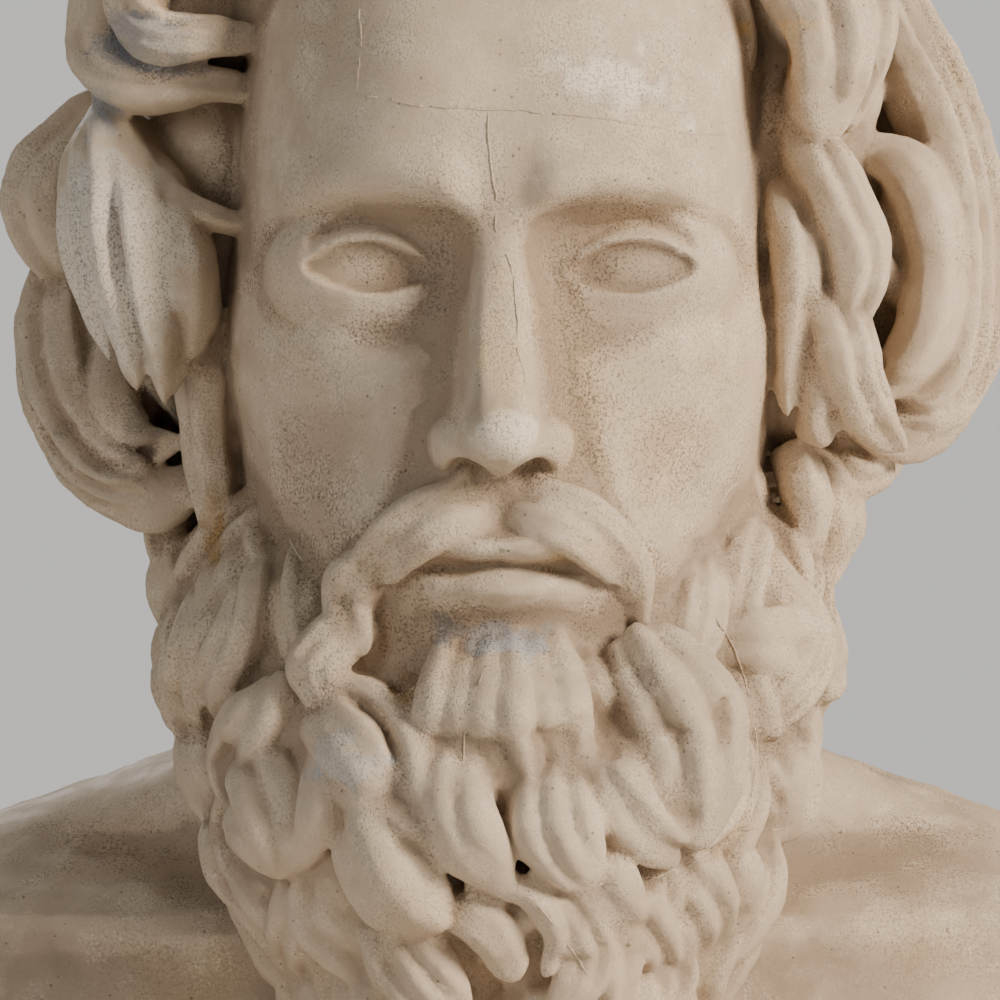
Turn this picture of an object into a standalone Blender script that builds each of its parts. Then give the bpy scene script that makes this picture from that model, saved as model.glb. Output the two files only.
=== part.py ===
"""A plaster bust of a bearded classical elder, cast in one piece and cut flat below.

Run it with: blender --background --python part.py

The form is built like clay. Rounded masses, a face sheet, a lofted chest and swept locks of hair
are joined, fused by a voxel remesh into one skin, and thinned to a light faceted solid.
"""

import math

import bmesh
import bpy
import numpy as np
from mathutils import Matrix

# Driving dimensions, in metres.
HEAD_HEIGHT = 0.265  # chin to crown of the skull, without the hair
BUST_HEIGHT = 0.560  # flat underside to the top of the hair
SHOULDER_WIDTH = 0.440  # between the flat cuts of the two arms
CHEST_DEPTH = 0.225  # breastbone to back, at the underside
CLAY_GRAIN = 0.0030  # voxel that fuses the masses
FACE_TRIANGLES = 2100  # of the finished solid, on the face
OTHER_TRIANGLES = 6900  # of the finished solid, everywhere else

# Carving is given in hundredths of the head height, from the point between the eyes:
# x to the viewer's right, y backwards, z upwards.
UNIT = HEAD_HEIGHT / 100
HAIR_TOP = 54.9
EYE_LEVEL = BUST_HEIGHT - HAIR_TOP * UNIT
HEAD_FORWARD = 0.012
RANDOM_SEED = 7


def to_world(points):
    """Carving coordinates to metres, with the flat underside at z = 0."""
    return np.asarray(points, float) * UNIT + np.array([0.0, -HEAD_FORWARD, EYE_LEVEL])


# Curves and bumps


def bump(x, z, at_x, at_z, wide_x, wide_z):
    return np.exp(-(((x - at_x) / wide_x) ** 2) - ((z - at_z) / wide_z) ** 2)


def rise(value, low, high):
    """0 below low, 1 above high, and smooth between them."""
    t = np.clip((value - low) / (high - low), 0, 1)
    return t * t * (3 - 2 * t)


def soft_max(a, b, blend):
    share = np.clip(0.5 + 0.5 * (a - b) / blend, 0, 1)
    return b + (a - b) * share + blend * share * (1 - share)


def smooth_line(knots, at):
    """A smooth line through knots of (position, value), rising in position."""
    positions, values = np.array(knots, float).T
    slopes = np.gradient(values, positions)
    i = np.clip(np.searchsorted(positions, at) - 1, 0, len(positions) - 2)
    span = positions[i + 1] - positions[i]
    t = np.clip((at - positions[i]) / span, 0, 1)
    rest = 1 - t
    return (
        values[i] * (1 + 2 * t) * rest**2
        + values[i + 1] * (3 - 2 * t) * t**2
        + span * t * rest * (slopes[i] * rest - slopes[i + 1] * t)
    )


# The face: how far forward it stands at each x and z

FACE_PROFILE = [
    (-58, 20), (-50, 31.5), (-44, 35.6), (-37, 34.0), (-31, 36.0), (-26, 36.6), (-20, 35.6),
    (-13, 34.4), (-5, 34.2), (2, 35.4), (8, 37.2), (16, 36.8), (26, 34.6), (36, 29), (46, 19),
]
FACE_HALF_WIDTH = [
    (-58, 9), (-48, 17), (-38, 22.5), (-26, 26.5), (-15, 29), (-6, 30.2), (4, 29.4), (16, 28.6),
    (28, 27), (38, 23), (46, 17),
]
FACE_SQUARENESS = 2.3
NOSE_HEIGHT = [
    (-22.4, 0), (-20.8, 1.6), (-19.2, 7.4), (-16.5, 10.6), (-12, 9.2), (-5, 5.8), (1, 2.7), (6, 0.3),
    (9, 0),
]
EYE_X, EYE_DEPTH = 13.4, 25.7
MOUTH_Z = -30.0


def front_of_ball(x, z, centre, radii):
    """Front depth of an ellipsoid, centre given as (x, depth, z), falling away outside it."""
    q = ((x - centre[0]) / radii[0]) ** 2 + ((z - centre[2]) / radii[2]) ** 2
    return centre[1] + radii[1] * np.sqrt(np.clip(1 - q, 0, 1)) - 40 * np.clip(q - 1, 0, 2)


def head_form(x, z):
    """The egg of the face, with no features."""
    profile = smooth_line(FACE_PROFILE, z)
    across = np.clip(np.abs(x) / smooth_line(FACE_HALF_WIDTH, z), 0, 1)
    return (profile + 2) * (1 - across**FACE_SQUARENESS) ** (1 / FACE_SQUARENESS) - 2


def bones(x, z):
    """Forehead, cheekbones, hollow cheeks, temples and chin."""
    side = np.abs(x)
    return (
        0.8 * bump(side, z, 9, 20, 8, 6)
        - 1.8 * bump(side, z, 28, 12, 5, 10)
        + 1.7 * bump(side, z, 20.5, -7.5, 7, 4.5)
        - 1.9 * bump(side, z, 20, -22, 6.5, 8)
        + 1.4 * bump(side, z, 0, -44, 6, 5)
        - 0.7 * bump(side, z, 10, -7, 5, 1.8)
    )


def brow(x, z):
    """The brow ridge, soft above and sharp below."""
    side = np.abs(x)
    crest = 6.4 + 2.2 * (1 - ((side - 12.5) / 10) ** 2)
    above = z - crest
    height = 2.3 * rise(side, 1.5, 6) * (1 - rise(side, 19, 26))
    return height * np.exp(-((above / np.where(above > 0, 4.2, 1.5)) ** 2))


def nose(x, z):
    """Ridge and flanks, above the form of the face."""
    side = np.abs(x)
    height = smooth_line(NOSE_HEIGHT, z)
    ridge = smooth_line([(-20, 1.6), (-13, 1.5), (-5, 1.6), (3, 1.6), (8, 2.6)], z)
    foot = smooth_line([(-20, 5.6), (-13, 6.4), (-5, 5.8), (3, 5.2), (8, 7)], z)
    return height * (1 - rise(side, ridge, foot))


def eye(x, z, depth):
    """Blank eyeball and two lids, set into a socket."""
    side = np.abs(x)
    depth = depth - 5.2 * bump(side, z, 12.6, 1.0, 8.8, 5.4) - 2.2 * bump(side, z, 7.2, 1.8, 2.6, 3.6)
    tilt = z - 0.05 * (side - EYE_X)
    across = np.clip(np.abs(side - EYE_X) / 6.8, 0, 1)
    upper = 3.0 * (1 - across**2) ** 0.75
    lower = -2.2 * (1 - across**2) ** 0.85
    opening = rise(upper - tilt, -0.15, 0.25) * rise(tilt - lower, -0.15, 0.25)
    opening = opening * (across < 1)
    ball = front_of_ball(side, z, (EYE_X, EYE_DEPTH, 0.2), (8.4, 5.5, 7.0))
    lid = front_of_ball(side, z, (EYE_X, EYE_DEPTH, 0.3), (9.4, 6.9, 7.3))
    depth = soft_max(depth, lid, 1.4)
    crease = tilt - (5.0 - 3.6 * (across * 0.9) ** 2)
    depth = depth - 1.1 * np.exp(-((crease / 0.6) ** 2)) * (1 - rise(across, 0.85, 1))
    return depth + opening * (ball - depth)


def lips(x, z):
    side = np.abs(x)
    line = MOUTH_Z + 0.35 * np.cos(side / 2.2) * np.exp(-side / 6)
    within = 1 - rise(side, 6.5, 9.5)
    return within * (
        1.6 * bump(side, z, 2.2, MOUTH_Z + 1.9, 6.0, 1.3)
        - 2.0 * np.exp(-(((z - line) / 0.55) ** 2))
        + 2.2 * bump(side, z, 0, MOUTH_Z - 2.6, 5.8, 1.6)
        - 0.7 * bump(side, z, 0, MOUTH_Z + 6, 1.1, 2.4)
    ) - 1.0 * bump(side, z, 10.2, MOUTH_Z - 0.3, 1.6, 1.6)


def face_depth(x, z):
    side = np.abs(x)
    depth = head_form(x, z) + bones(x, z) + brow(x, z)
    depth = eye(x, z, depth)
    depth = depth + nose(x, z)
    tip = front_of_ball(side, z, (0, 41.8, -16.4), (4.0, 4.7, 3.7))
    wing = front_of_ball(side, z, (4.8, 37.2, -17.6), (2.2, 4.0, 2.7))
    depth = soft_max(soft_max(depth, tip, 2.4), wing, 1.0)
    depth = depth - 3.0 * bump(side, z, 3.0, -20.7, 1.6, 0.9)
    fold = side - (8.2 + 0.45 * (-18 - z))
    depth = depth - 0.7 * np.exp(-((fold / 1.3) ** 2)) * rise(z, -31, -26) * (1 - rise(z, -19, -16))
    return depth + lips(x, z)


# The masses that carry the hair and beard: centre and radii

MASSES = {
    "skull": ((0, 2, 12), (28.5, 36, 37.5)),
    "jaw": ((0, -7, -22), (24, 26, 27)),
    "hair_cap": ((0, 8, 13), (32.0, 36.5, 39.5)),
    "nape_hair": ((0, 20, -16), (29, 24, 24)),
    "hair_left": ((-29, 12, -1), (17, 19, 24)),
    "hair_right": ((30, 12, 5), (17.5, 19, 27)),
    "temple_left": ((-31, -2, 9), (8.5, 9.5, 17)),
    "curls_left": ((-31, -5, 29), (9, 8, 11)),
    "temple_right": ((31.5, -2, 3), (8, 10, 22)),
    "scroll_left": ((-39, 2, -10), (7.5, 7, 11)),
    "scroll_right": ((41, 3, 3), (7, 6, 13)),
    "beard_cheeks": ((0, -7, -38), (32, 25, 20)),
    "beard_body": ((0, -14, -57), (25.5, 21, 22.5)),
    "beard_tip": ((0, -17, -72), (18.5, 15, 14.5)),
}
HEAD_AXIS = np.array([0.0, 4.0, 0.0])
BEARD_AXIS = np.array([0.0, -6.0, 0.0])
HAIR_MASSES = ("hair_cap", "nape_hair", "hair_left", "hair_right")
BEARD_MASSES = ("beard_cheeks", "beard_body", "beard_tip")
LEAST_REACH = 12.0
FRONT_LEAN = 22.0  # how much the side locks face the front


def front_of_masses(x, z):
    """How far forward (as y) the face, hair and beard masses stand behind a lock."""
    depth = np.where(np.abs(x) < FACE_HALF_WIDTH[4][1], head_form(x, z) - 0.6, -60.0)
    for (cx, cy, cz), radii in MASSES.values():
        q = ((x - cx) / radii[0]) ** 2 + ((z - cz) / radii[2]) ** 2
        depth = np.maximum(depth, -cy + radii[1] * np.sqrt(np.clip(1 - q, 0, 1)) - 4 * np.clip(q - 1, 0, 3))
    return -depth


def reach_round(names, axis_y, angle, z):
    """The outermost points of some masses at heights z, in directions round an upright axis from
    0 in front to 180 behind, evened out so that a lock laid over them runs smoothly."""
    turn = np.radians(angle)
    dx, dy = np.sin(turn), -np.cos(turn)
    reach = np.full(len(z), LEAST_REACH)
    for name in names:
        (cx, cy, cz), (rx, ry, rz) = MASSES[name]
        ox, oy = -cx / rx, (axis_y - cy) / ry
        a = (dx / rx) ** 2 + (dy / ry) ** 2
        b = ox * dx / rx + oy * dy / ry
        inside = b**2 - a * (ox**2 + oy**2 - 1 + ((z - cz) / rz) ** 2)
        reach = np.maximum(reach, np.where(inside > 0, (-b + np.sqrt(np.clip(inside, 0, None))) / a, 0))
    for _ in range(3):
        reach[1:-1] = (reach[:-2] + 2 * reach[1:-1] + reach[2:]) / 4
    return np.stack([reach * dx, axis_y + reach * dy, z], -1)


# Locks

LOCK_STEPS = 16
STRAND_SIDES = 10
END_FROM = 0.8  # share of a blunt lock's length where its round end begins
CORE_TOP = 0.66  # how high the core stands between the strands, as a share of their height
CORE_TUCK = 0.42  # how far the core draws in below, which undercuts a lock's edges
LONE_STRAND = 0.6  # share of a lock's width that a single strand takes up
BEARD_RELIEF = 2.4  # how much further than the others the locks of the lower beard stand out


def unit(vectors):
    return vectors / np.linalg.norm(vectors, axis=-1, keepdims=True)


def sweep(spine, across, out, wide, high, foot=None):
    """Rings along a spine, wide across it and high outwards at each of its points. A foot reaches
    down behind the spine and draws in on its way."""
    turn = np.linspace(0, 2 * math.pi, STRAND_SIDES, endpoint=False)
    down = np.clip(-np.sin(turn), 0, 1)
    sideways = wide[:, None] * np.cos(turn) * (1 - CORE_TUCK * down * (foot is not None))
    upwards = high[:, None] * np.sin(turn)
    if foot is not None:
        upwards = high[:, None] * np.clip(np.sin(turn), 0, 1) - foot[:, None] * down
    ring = across[:, None, :] * sideways[:, :, None] + out[:, None, :] * upwards[:, :, None]
    return spine[:, None, :] + ring


def swell(t, blunt):
    """How wide a lock is along its length: narrow at the root, full, then a point or a round end."""
    full = np.clip(np.sin(math.pi * (0.08 + (0.92 - 0.30 * blunt) * t) ** 0.85), 0, 1) ** 0.62
    end = np.clip((t - END_FROM) / (1 - END_FROM), 0, 1)
    return full * np.sqrt(1 - end**2) + 0.03 if blunt else full + 0.03


def bundle(spine, out, width, height, foot, strands, blunt=0.0, uneven=0.0):
    """A carved lock: strands side by side over a core that reaches down by its foot to what is
    behind. They part in the middle of the lock and meet at its tip, and the outer ones stop a
    little short."""
    t = np.linspace(0, 1, LOCK_STEPS)
    along = unit(np.gradient(spine, axis=0))
    out = unit(out - (out * along).sum(1, keepdims=True) * along)
    across = np.cross(along, out)
    full = swell(t, blunt)
    depth = foot * np.clip(full * 1.6, 0, 1)
    made = [sweep(spine, across, out, width * 0.96 * full, CORE_TOP * height * full, depth)]
    share = LONE_STRAND if strands == 1 else 1.12 / strands
    for i in range(strands):
        place = (2 * i + 1) / strands - 1
        short = 0.95 - (0.05 + 0.06 * blunt) * math.sin(5.3 * i + 9 * uneven) - 0.10 * abs(place)
        reach = t * short
        offset = place * width * (1 - 0.6 / strands) * swell(reach, blunt)
        sink = 0.38 * height * place**2 - 0.12 * height * math.sin(3.7 * i + 5 * uneven)
        path = spine + across * offset[:, None] - out * sink
        path = np.stack([np.interp(reach, t, path[:, axis]) for axis in range(3)], -1)
        thick = full * (1 - 0.12 * abs(place))
        made.append(sweep(path, across, out, width * share * thick, height * thick))
    return made


def outwards(spine):
    """Away from the upright axis of the head and towards the front, at each point of a spine."""
    out = spine - HEAD_AXIS
    out[:, 1] -= FRONT_LEAN
    out[:, 2] *= 0.25
    return out


def lock(knots, width, lift=1.5, strands=3, blunt=0.0, height=0.6):
    """A lock seen from the front, which runs smoothly through knots (x, z) from its root to its
    tip and stands lift above the mass behind it. Its height is a share of its width."""
    knots = np.array(knots, float)
    t = np.linspace(0, 1, LOCK_STEPS)
    at = np.concatenate([[0], np.cumsum(np.linalg.norm(np.diff(knots, axis=0), axis=1))])
    path = np.stack([smooth_line(list(zip(at / at[-1], knots[:, i])), t) for i in (0, 1)], -1)
    raised = lift + width * (0.3 * np.sin(math.pi * t) - 0.8 * (1 - t) ** 3)
    raised = raised + BEARD_RELIEF * rise(-path[:, 1], 38, 50)
    y = front_of_masses(path[:, 0], path[:, 1]) - raised
    spine = np.stack([path[:, 0], y, path[:, 1]], -1)
    foot = np.clip(raised, 0, None) + width * height
    return bundle(spine, outwards(spine), width, height * width, foot, strands, blunt, knots[0][0])


def curl(knots, width, height, strands=3, blunt=0.0):
    """A free-standing lock through a few knots (x, y, z), for the scrolls at the sides."""
    knots = np.array(knots, float)
    at = np.linspace(0, len(knots) - 1, LOCK_STEPS)
    spine = np.stack([smooth_line(list(enumerate(knots[:, i])), at) for i in range(3)], -1)
    return bundle(spine, outwards(spine), width, height, 1.6 * height, strands, blunt, uneven=knots[0][0])


def hanging_lock(names, axis, angle, top, drop, width, bend, lift):
    """A plainer wavy lock laid over some masses, hanging down at an angle round their axis."""
    t = np.linspace(0, 1, LOCK_STEPS)
    angles = angle + bend * (np.sin(1.7 * math.pi * t) + 0.4 * t)
    spine = reach_round(names, axis[1], angles, top - drop * t)
    out = spine - axis
    out[:, 2] = 0.6 * (out[:, 2] - MASSES[names[0]][0][2])
    out = unit(out)
    raised = lift + 1.8 * np.sin(math.pi * t) - 1.5 * (1 - t) ** 3
    return bundle(spine + out * raised[:, None], out, width, 0.55 * width, lift + 2, 3, uneven=angle)


def hair_locks():
    """The scrolls at the two sides of the face."""
    right = [
        curl([(22, -12, 42), (31, -17, 33), (34.5, -19, 24), (33.5, -17, 13.5)], 5.0, 4.2, 3, 0.75),
        curl([(30, -6, 46), (37, -9, 36), (39, -9, 25), (36.5, -10, 15)], 4.4, 3.6, 3),
        curl(
            [(26, 3, 46), (38.5, 1, 34), (47, -1, 18), (50, -2, 3), (48.8, -3, -10), (44, -5, -15.8),
             (35, -6, -14)],
            5.2, 4.2, 4, 0.4,
        ),
        curl(
            [(37, -4, 14), (43, -6, 12), (46, -7, 4), (45.6, -8, -5), (41.5, -8, -11), (36, -8, -9)],
            3.4, 3.0, 2,
        ),
        curl([(30, -12, 19), (34, -15.5, 11), (37.6, -16, 3), (37, -15, -3), (33, -12, -7)], 4.2, 3.4, 3),
        curl([(29, -12, 12), (30.6, -16, 4), (30.8, -15.5, -5), (30, -14, -15)], 2.6, 2.6, 2),
        curl([(32, -12, 4), (35.5, -15, -5), (37.5, -14, -12), (42, -10, -18)], 3.6, 3.0, 3, 0.6),
        curl([(31.5, -11, 0), (33.5, -13.5, -8), (33.8, -13, -18)], 2.8, 2.6, 2, 0.8),
        curl([(32, -2, -17), (37, -3, -20.5), (42, -2, -18.5)], 3.2, 3.0, 2, 0.5),
        curl([(31, -8, -17), (33.0, -9, -24), (32.4, -9, -31)], 2.9, 2.6, 2),
        curl([(33, -2, -18), (36, -4, -25), (34.5, -5, -33)], 3.2, 2.8, 2),
    ]
    left = [
        curl(
            [(-20, -12, 44), (-32, -17, 37), (-38, -17, 30), (-36, -18, 25), (-29, -17, 25),
             (-21, -11, 25)],
            3.6, 3.2, 3,
        ),
        curl(
            [(-28, -8, 40), (-39, -10, 33), (-42.5, -11, 25), (-38, -14, 20), (-30, -15, 20),
             (-21, -10, 19)],
            3.4, 3.2, 2,
        ),
        curl(
            [(-42, -4, 27), (-40.5, -12, 16.5), (-36, -15, 9.5), (-29, -15.5, 6), (-21, -10, 5)],
            2.2, 2.4, 1,
        ),
        curl([(-41, -8, 19), (-43.4, -13.5, 10), (-43.2, -15, 1), (-40.8, -13.5, -9)], 2.6, 3.2, 2, 0.3),
        curl([(-41, -9, 18), (-40.6, -16, 10), (-40.4, -18.5, 0), (-37.8, -17, -12)], 2.6, 3.8, 2, 0.3),
        curl([(-40, -9, 17), (-37.8, -16.5, 9), (-36.8, -19, 0), (-34.8, -17, -13.5)], 2.5, 3.8, 2, 0.3),
        curl([(-39, -9, 15), (-34.8, -15.5, 8), (-32.6, -17.5, 0), (-32.4, -15.5, -9)], 2.3, 3.4, 1, 0.3),
        curl([(-42, 1, 19), (-49, -2, 10), (-47, -3, 0)], 4.6, 4.0, 3, 0.5),
        curl(
            [(-43, 3, 10), (-47.5, 0, -1), (-46.8, -3, -11), (-43, -6, -19), (-37, -8, -23),
             (-30, -8, -20)],
            5.2, 4.4, 4, 0.3,
        ),
        curl([(-40, -1, -2), (-41.5, -5, -11), (-38.5, -8, -17), (-33, -9, -17)], 3.4, 3.0, 2),
        curl([(-30, -8, 4), (-31.5, -11, -8), (-30.8, -11, -20), (-29, -12, -32)], 3.2, 3.0, 2, 0.2),
        curl([(-33, 0, -18), (-35, -3, -26), (-34, -5, -34)], 3.2, 2.8, 2),
    ]
    return right + left


def beard_locks():
    """The moustache, the named locks of the beard and the strands beneath them."""
    made = []
    for s in (-1, 1):
        made += [
            lock([(s * 0.6, -22.4), (s * 8.5, -25.2), (s * 13.4, -30.5), (s * 14.6, -37)], 2.9, 1.0),
            lock([(s * 0.8, -24.8), (s * 7, -26.8), (s * 11.8, -31.8)], 2.2, 1.5, 2),
            lock([(s * 26, -20), (s * 25.6, -32), (s * 22.5, -44)], 3.8, -1.4),
            lock([(s * 20.5, -27), (s * 20.6, -35), (s * 18, -43)], 3.4, -0.9),
        ]
    left = [
        lock([(-34, -27), (-35.4, -32), (-34.4, -37)], 3.0, -0.4, 2, 0.5),
        lock([(-30.5, -28), (-32.8, -33), (-32.2, -38)], 2.6, 1.4, 2),
        lock([(-32.4, -36), (-34, -41.5), (-32.4, -47.5)], 3.6, 1.2, 2, 0.7, 0.8),
        lock([(-26.5, -27), (-28.6, -33), (-26.2, -39.5)], 4.2, 0.6, 2),
        lock([(-26.6, -35), (-26.0, -41), (-27.4, -48)], 1.7, 0.8, 1),
        lock([(-28.6, -36), (-29.8, -42), (-27.6, -49.5)], 2.7, 1.2, 2),
        lock([(-31.6, -44), (-31.2, -52), (-27.8, -58.5)], 3.4, 0.2, 2),
        lock([(-21.6, -42), (-24.8, -51), (-22.2, -62)], 6.4, 5.8, 3, 0.0, 0.5),
        lock([(-18, -47), (-18, -54), (-20.8, -61)], 2.8, 3.8, 1),
        lock([(-27.4, -54), (-27.2, -61), (-20.2, -66.5)], 4.6, 1.8),
        lock([(-24.5, -60), (-22.5, -68), (-16.6, -75)], 5.6, 1.0),
        lock([(-16, -54), (-18.4, -58), (-15.6, -62), (-14.6, -69)], 2.0, 0.8, 2),
        lock([(-12.6, -28.5), (-15.4, -33), (-13.8, -39)], 3.0, 2.4, 2),
        lock([(-13.8, -36), (-18.8, -40.5), (-15.6, -45.5)], 3.6, 3.6, 2, 0.3),
        lock(
            [(-17, -41.5), (-11.6, -44), (-8.8, -48), (-8.2, -52), (-5, -57), (0.4, -61.8)],
            2.1, 4.2, 1,
        ),
        lock([(-20.4, -44), (-16, -48.4), (-10.2, -53.8)], 4.6, 3.6, 1),
        lock([(-20.6, -48), (-15, -53), (-9, -56), (-3, -60), (1.2, -63.5)], 2.1, 4.2, 1),
        lock([(-3.8, -47), (-4.2, -54), (1.2, -62.8)], 4.0, 4.2, 2),
        lock([(-13.4, -52.5), (-11.6, -59), (-5.8, -66)], 4.9, 3.4, 1, 0.4),
        lock([(-14.4, -53.5), (-15.4, -59.5), (-12, -65), (-5, -67.5)], 1.7, 3.4, 1),
        lock([(-12.5, -64), (-8.8, -70), (-3.5, -77)], 4.8, 1.8),
        lock([(-6.5, -63.5), (-0.8, -66.5), (1.6, -71.5)], 2.7, 2.8, 2, 0.4),
    ]
    chin = [
        lock([(-7.6, -41), (-8.4, -48.5), (-5, -54.5)], 2.8, 1.8, 2),
        lock([(-3.6, -36), (-5.2, -46), (-2.4, -53.5)], 3.6, 1.9, 2),
        lock([(0.4, -36), (0.2, -46), (3.2, -54.6)], 3.9, 2.5, 2),
        lock([(4.4, -36), (6.2, -46), (8.8, -54)], 3.8, 2.5, 2),
        lock([(7.8, -38), (9.8, -45), (12, -51.5)], 2.6, 1.6, 2),
    ]
    right = [
        lock([(13.6, -37), (18.8, -46), (20.4, -58.6)], 6.8, 6.4, 3, 0.0, 0.5),
        lock([(11.2, -49.5), (14.8, -53.8), (18.8, -57.8)], 1.6, 6.4, 1),
        lock([(10.6, -47), (12.6, -54), (17.8, -60)], 4.0, 3.6, 2),
        lock([(5, -49.5), (5.8, -56), (9.6, -62.4)], 5.0, 3.6, 3),
        lock([(9, -58), (10.6, -62), (14.2, -66.6)], 3.6, 2.6, 2),
        lock([(-3.5, -61.2), (3, -62.6), (5.6, -66.6), (4.6, -71)], 1.8, 3.6, 1),
        lock([(1.6, -60), (7, -64.4), (8.6, -69), (5, -76)], 3.6, 2.2),
        lock([(14.4, -57), (16.6, -62), (15, -69)], 2.5, 1.4, 2),
        lock([(17.6, -57), (19.8, -63), (18, -70)], 2.5, 1.2, 2),
        lock([(16.6, -55), (20, -60), (22.4, -64)], 1.8, 3.0, 1),
        lock([(22, -57), (23.4, -67), (19.6, -78)], 5.0, 0.4, 2),
        lock([(24.2, -39), (26.8, -50), (25, -61.5)], 3.6, 1.6, 2),
        lock([(23.6, -38.2), (30.8, -38.6), (35.8, -44)], 4.2, 2.8, 2, 0.3),
        lock([(26, -42.5), (30.6, -45.2), (33.6, -49.5)], 3.0, 1.0, 1),
        lock([(28.4, -46), (31, -51.5), (29.2, -59)], 3.7, 0.8, 2, 0.6),
        lock([(26.6, -25.5), (29, -32), (33.8, -39)], 2.9, 1.2, 2),
        lock([(29.5, -24), (33, -30.5), (35, -37)], 2.7, 0.4, 2),
        lock([(25.6, -28), (27.6, -34), (27.4, -41)], 2.6, 0.4, 2),
        lock([(6, -62), (10.6, -68), (11, -77)], 3.8, 1.4),
    ]
    return sum(made + left + chin + right + strands_beneath(), [])


# Rows of the beard's under layer: top, first and last angle either side of the front, drop, step
UNDER_ROWS = [
    (-20, 84, 100, 20, 15), (-31, 68, 112, 20, 14), (-43, 8, 112, 20, 15), (-55, 0, 112, 19, 15),
    (-66, 9, 100, 17, 17), (-75, 0, 90, 14, 22),
]


def strands_beneath():
    rng = np.random.default_rng(RANDOM_SEED)
    made = []
    for row, (top, first, last, drop, step) in enumerate(UNDER_ROWS):
        for angle in np.arange(first, last, step):
            for side in (-1, 1):
                turned = side * (angle + rng.uniform(-2, 2)), top + rng.uniform(-2, 2)
                bend = rng.choice([-1, 1]) * rng.uniform(5, 9)
                size = drop * rng.uniform(0.9, 1.1), rng.uniform(4.6, 5.6)
                made.append(hanging_lock(BEARD_MASSES, BEARD_AXIS, *turned, *size, bend, rng.uniform(0, 1)))
    return made


# Rows of the crown and back: top, first angle, drop, step between locks
BACK_ROWS = [
    (52, 0, 15, 30), (46, 42, 22, 19), (34, 62, 26, 16), (21, 74, 26, 15), (8, 82, 26, 14),
    (-6, 84, 22, 14), (-19, 104, 20, 14),
]
FRINGE_X = (-25, -17, -8.5, 0, 8.5, 17, 25)


def crown_and_back_locks():
    """Rows of plain wavy locks over the crown, behind the ears and down the nape."""
    rng = np.random.default_rng(RANDOM_SEED)
    made = []
    for row, (top, first, drop, step) in enumerate(BACK_ROWS):
        for angle in np.arange(first + (row % 2) * step / 2, 360 - first + 1, step):
            side = 1 if math.sin(math.radians(3 * angle) + 1.9 * row) > 0 else -1
            bend = side * rng.uniform(4.5, 8.0)
            place = angle + rng.uniform(-2.5, 2.5), top + rng.uniform(-2.5, 2.5)
            size = drop * rng.uniform(0.85, 1.15), rng.uniform(4.4, 5.8)
            made += hanging_lock(HAIR_MASSES, HEAD_AXIS, *place, *size, bend, rng.uniform(0, 1.6))
    for x in FRINGE_X:
        tip = (1.08 * x - 3, 37 - abs(x) * 0.24)
        middle = (1.02 * x + 2, 44 - abs(x) * 0.12)
        made += lock([(x * 0.75, 50), middle, tip], 4.2, 1.8)
    return made


# Neck, shoulders and chest: height, half-width, half-depth and the centre's y

BODY_SECTIONS = [
    (-22, 24, 22, 10), (-38, 25, 24, 12), (-47, 29, 25, 14), (-51, 37, 25, 16), (-57, 54, 25, 18),
    (-64, 72, 27, 18), (-74, 90, 31, 17), (-90, 100, 36, 15), (-112, 102, 40, 14),
]
BODY_SIDES = 96
BODY_RINGS = 70


def chest_relief(x, z):
    """Collarbones, breast muscles and the hollow between them, on the front of the chest."""
    side = np.abs(x)
    bone = -71 + 0.10 * side
    return (
        3.0 * np.exp(-(((z - bone) / 3.0) ** 2)) * rise(side, 5, 14) * (1 - rise(side, 60, 80))
        - 2.6 * np.exp(-(((z - bone - 7) / 4.5) ** 2)) * rise(side, 20, 30) * (1 - rise(side, 42, 60))
        + 6.5 * bump(side, z, 36, -112, 26, 22)
        - 2.4 * bump(side, z, 0, -112, 6, 34)
        - 2.2 * bump(side, z, 0, -72, 4.5, 4)
    )


def body_rings():
    """Rings of the neck, shoulders and chest, cut square at the arms and run below the underside."""
    underside = -EYE_LEVEL / UNIT
    half_depth = CHEST_DEPTH / 2 / UNIT
    sections = BODY_SECTIONS + [(underside, 98, half_depth, 12), (underside - 8, 98, half_depth, 12)]
    sections = sorted(sections)
    levels = np.linspace(underside - 6, BODY_SECTIONS[0][0], BODY_RINGS)
    half_width, depth, centre = (
        smooth_line([(s[0], s[column]) for s in sections], levels)[:, None] for column in (1, 2, 3)
    )
    turn = np.linspace(0, 2 * math.pi, BODY_SIDES, endpoint=False)[None, :]
    flatness = 2 / (2 + 0.7 * rise(-levels, 48, 70))[:, None]
    x = half_width * np.sign(np.sin(turn)) * np.abs(np.sin(turn)) ** flatness
    y = -depth * np.sign(np.cos(turn)) * np.abs(np.cos(turn)) ** flatness
    z = np.repeat(levels[:, None], BODY_SIDES, axis=1)
    y = y + centre - chest_relief(x, z) * rise(-y / depth, 0.1, 0.7)
    arm_cut = SHOULDER_WIDTH / 2 / UNIT
    x = np.clip(x, -arm_cut, arm_cut)
    return np.stack([x, y, z], -1)


# Making meshes


def new_object(name, mesh, collection):
    obj = bpy.data.objects.new(name, mesh)
    collection.objects.link(obj)
    return obj


def turn_outwards(bm, faces):
    """Turns a closed skin round if it faces inwards, which its volume tells by its sign."""
    middle = faces[0].verts[0].co.copy()
    volume = 0.0
    for face in faces:
        face.normal_update()
        volume += (face.calc_center_median() - middle).dot(face.normal) * face.calc_area()
    if volume < 0:
        bmesh.ops.reverse_faces(bm, faces=faces)


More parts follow.
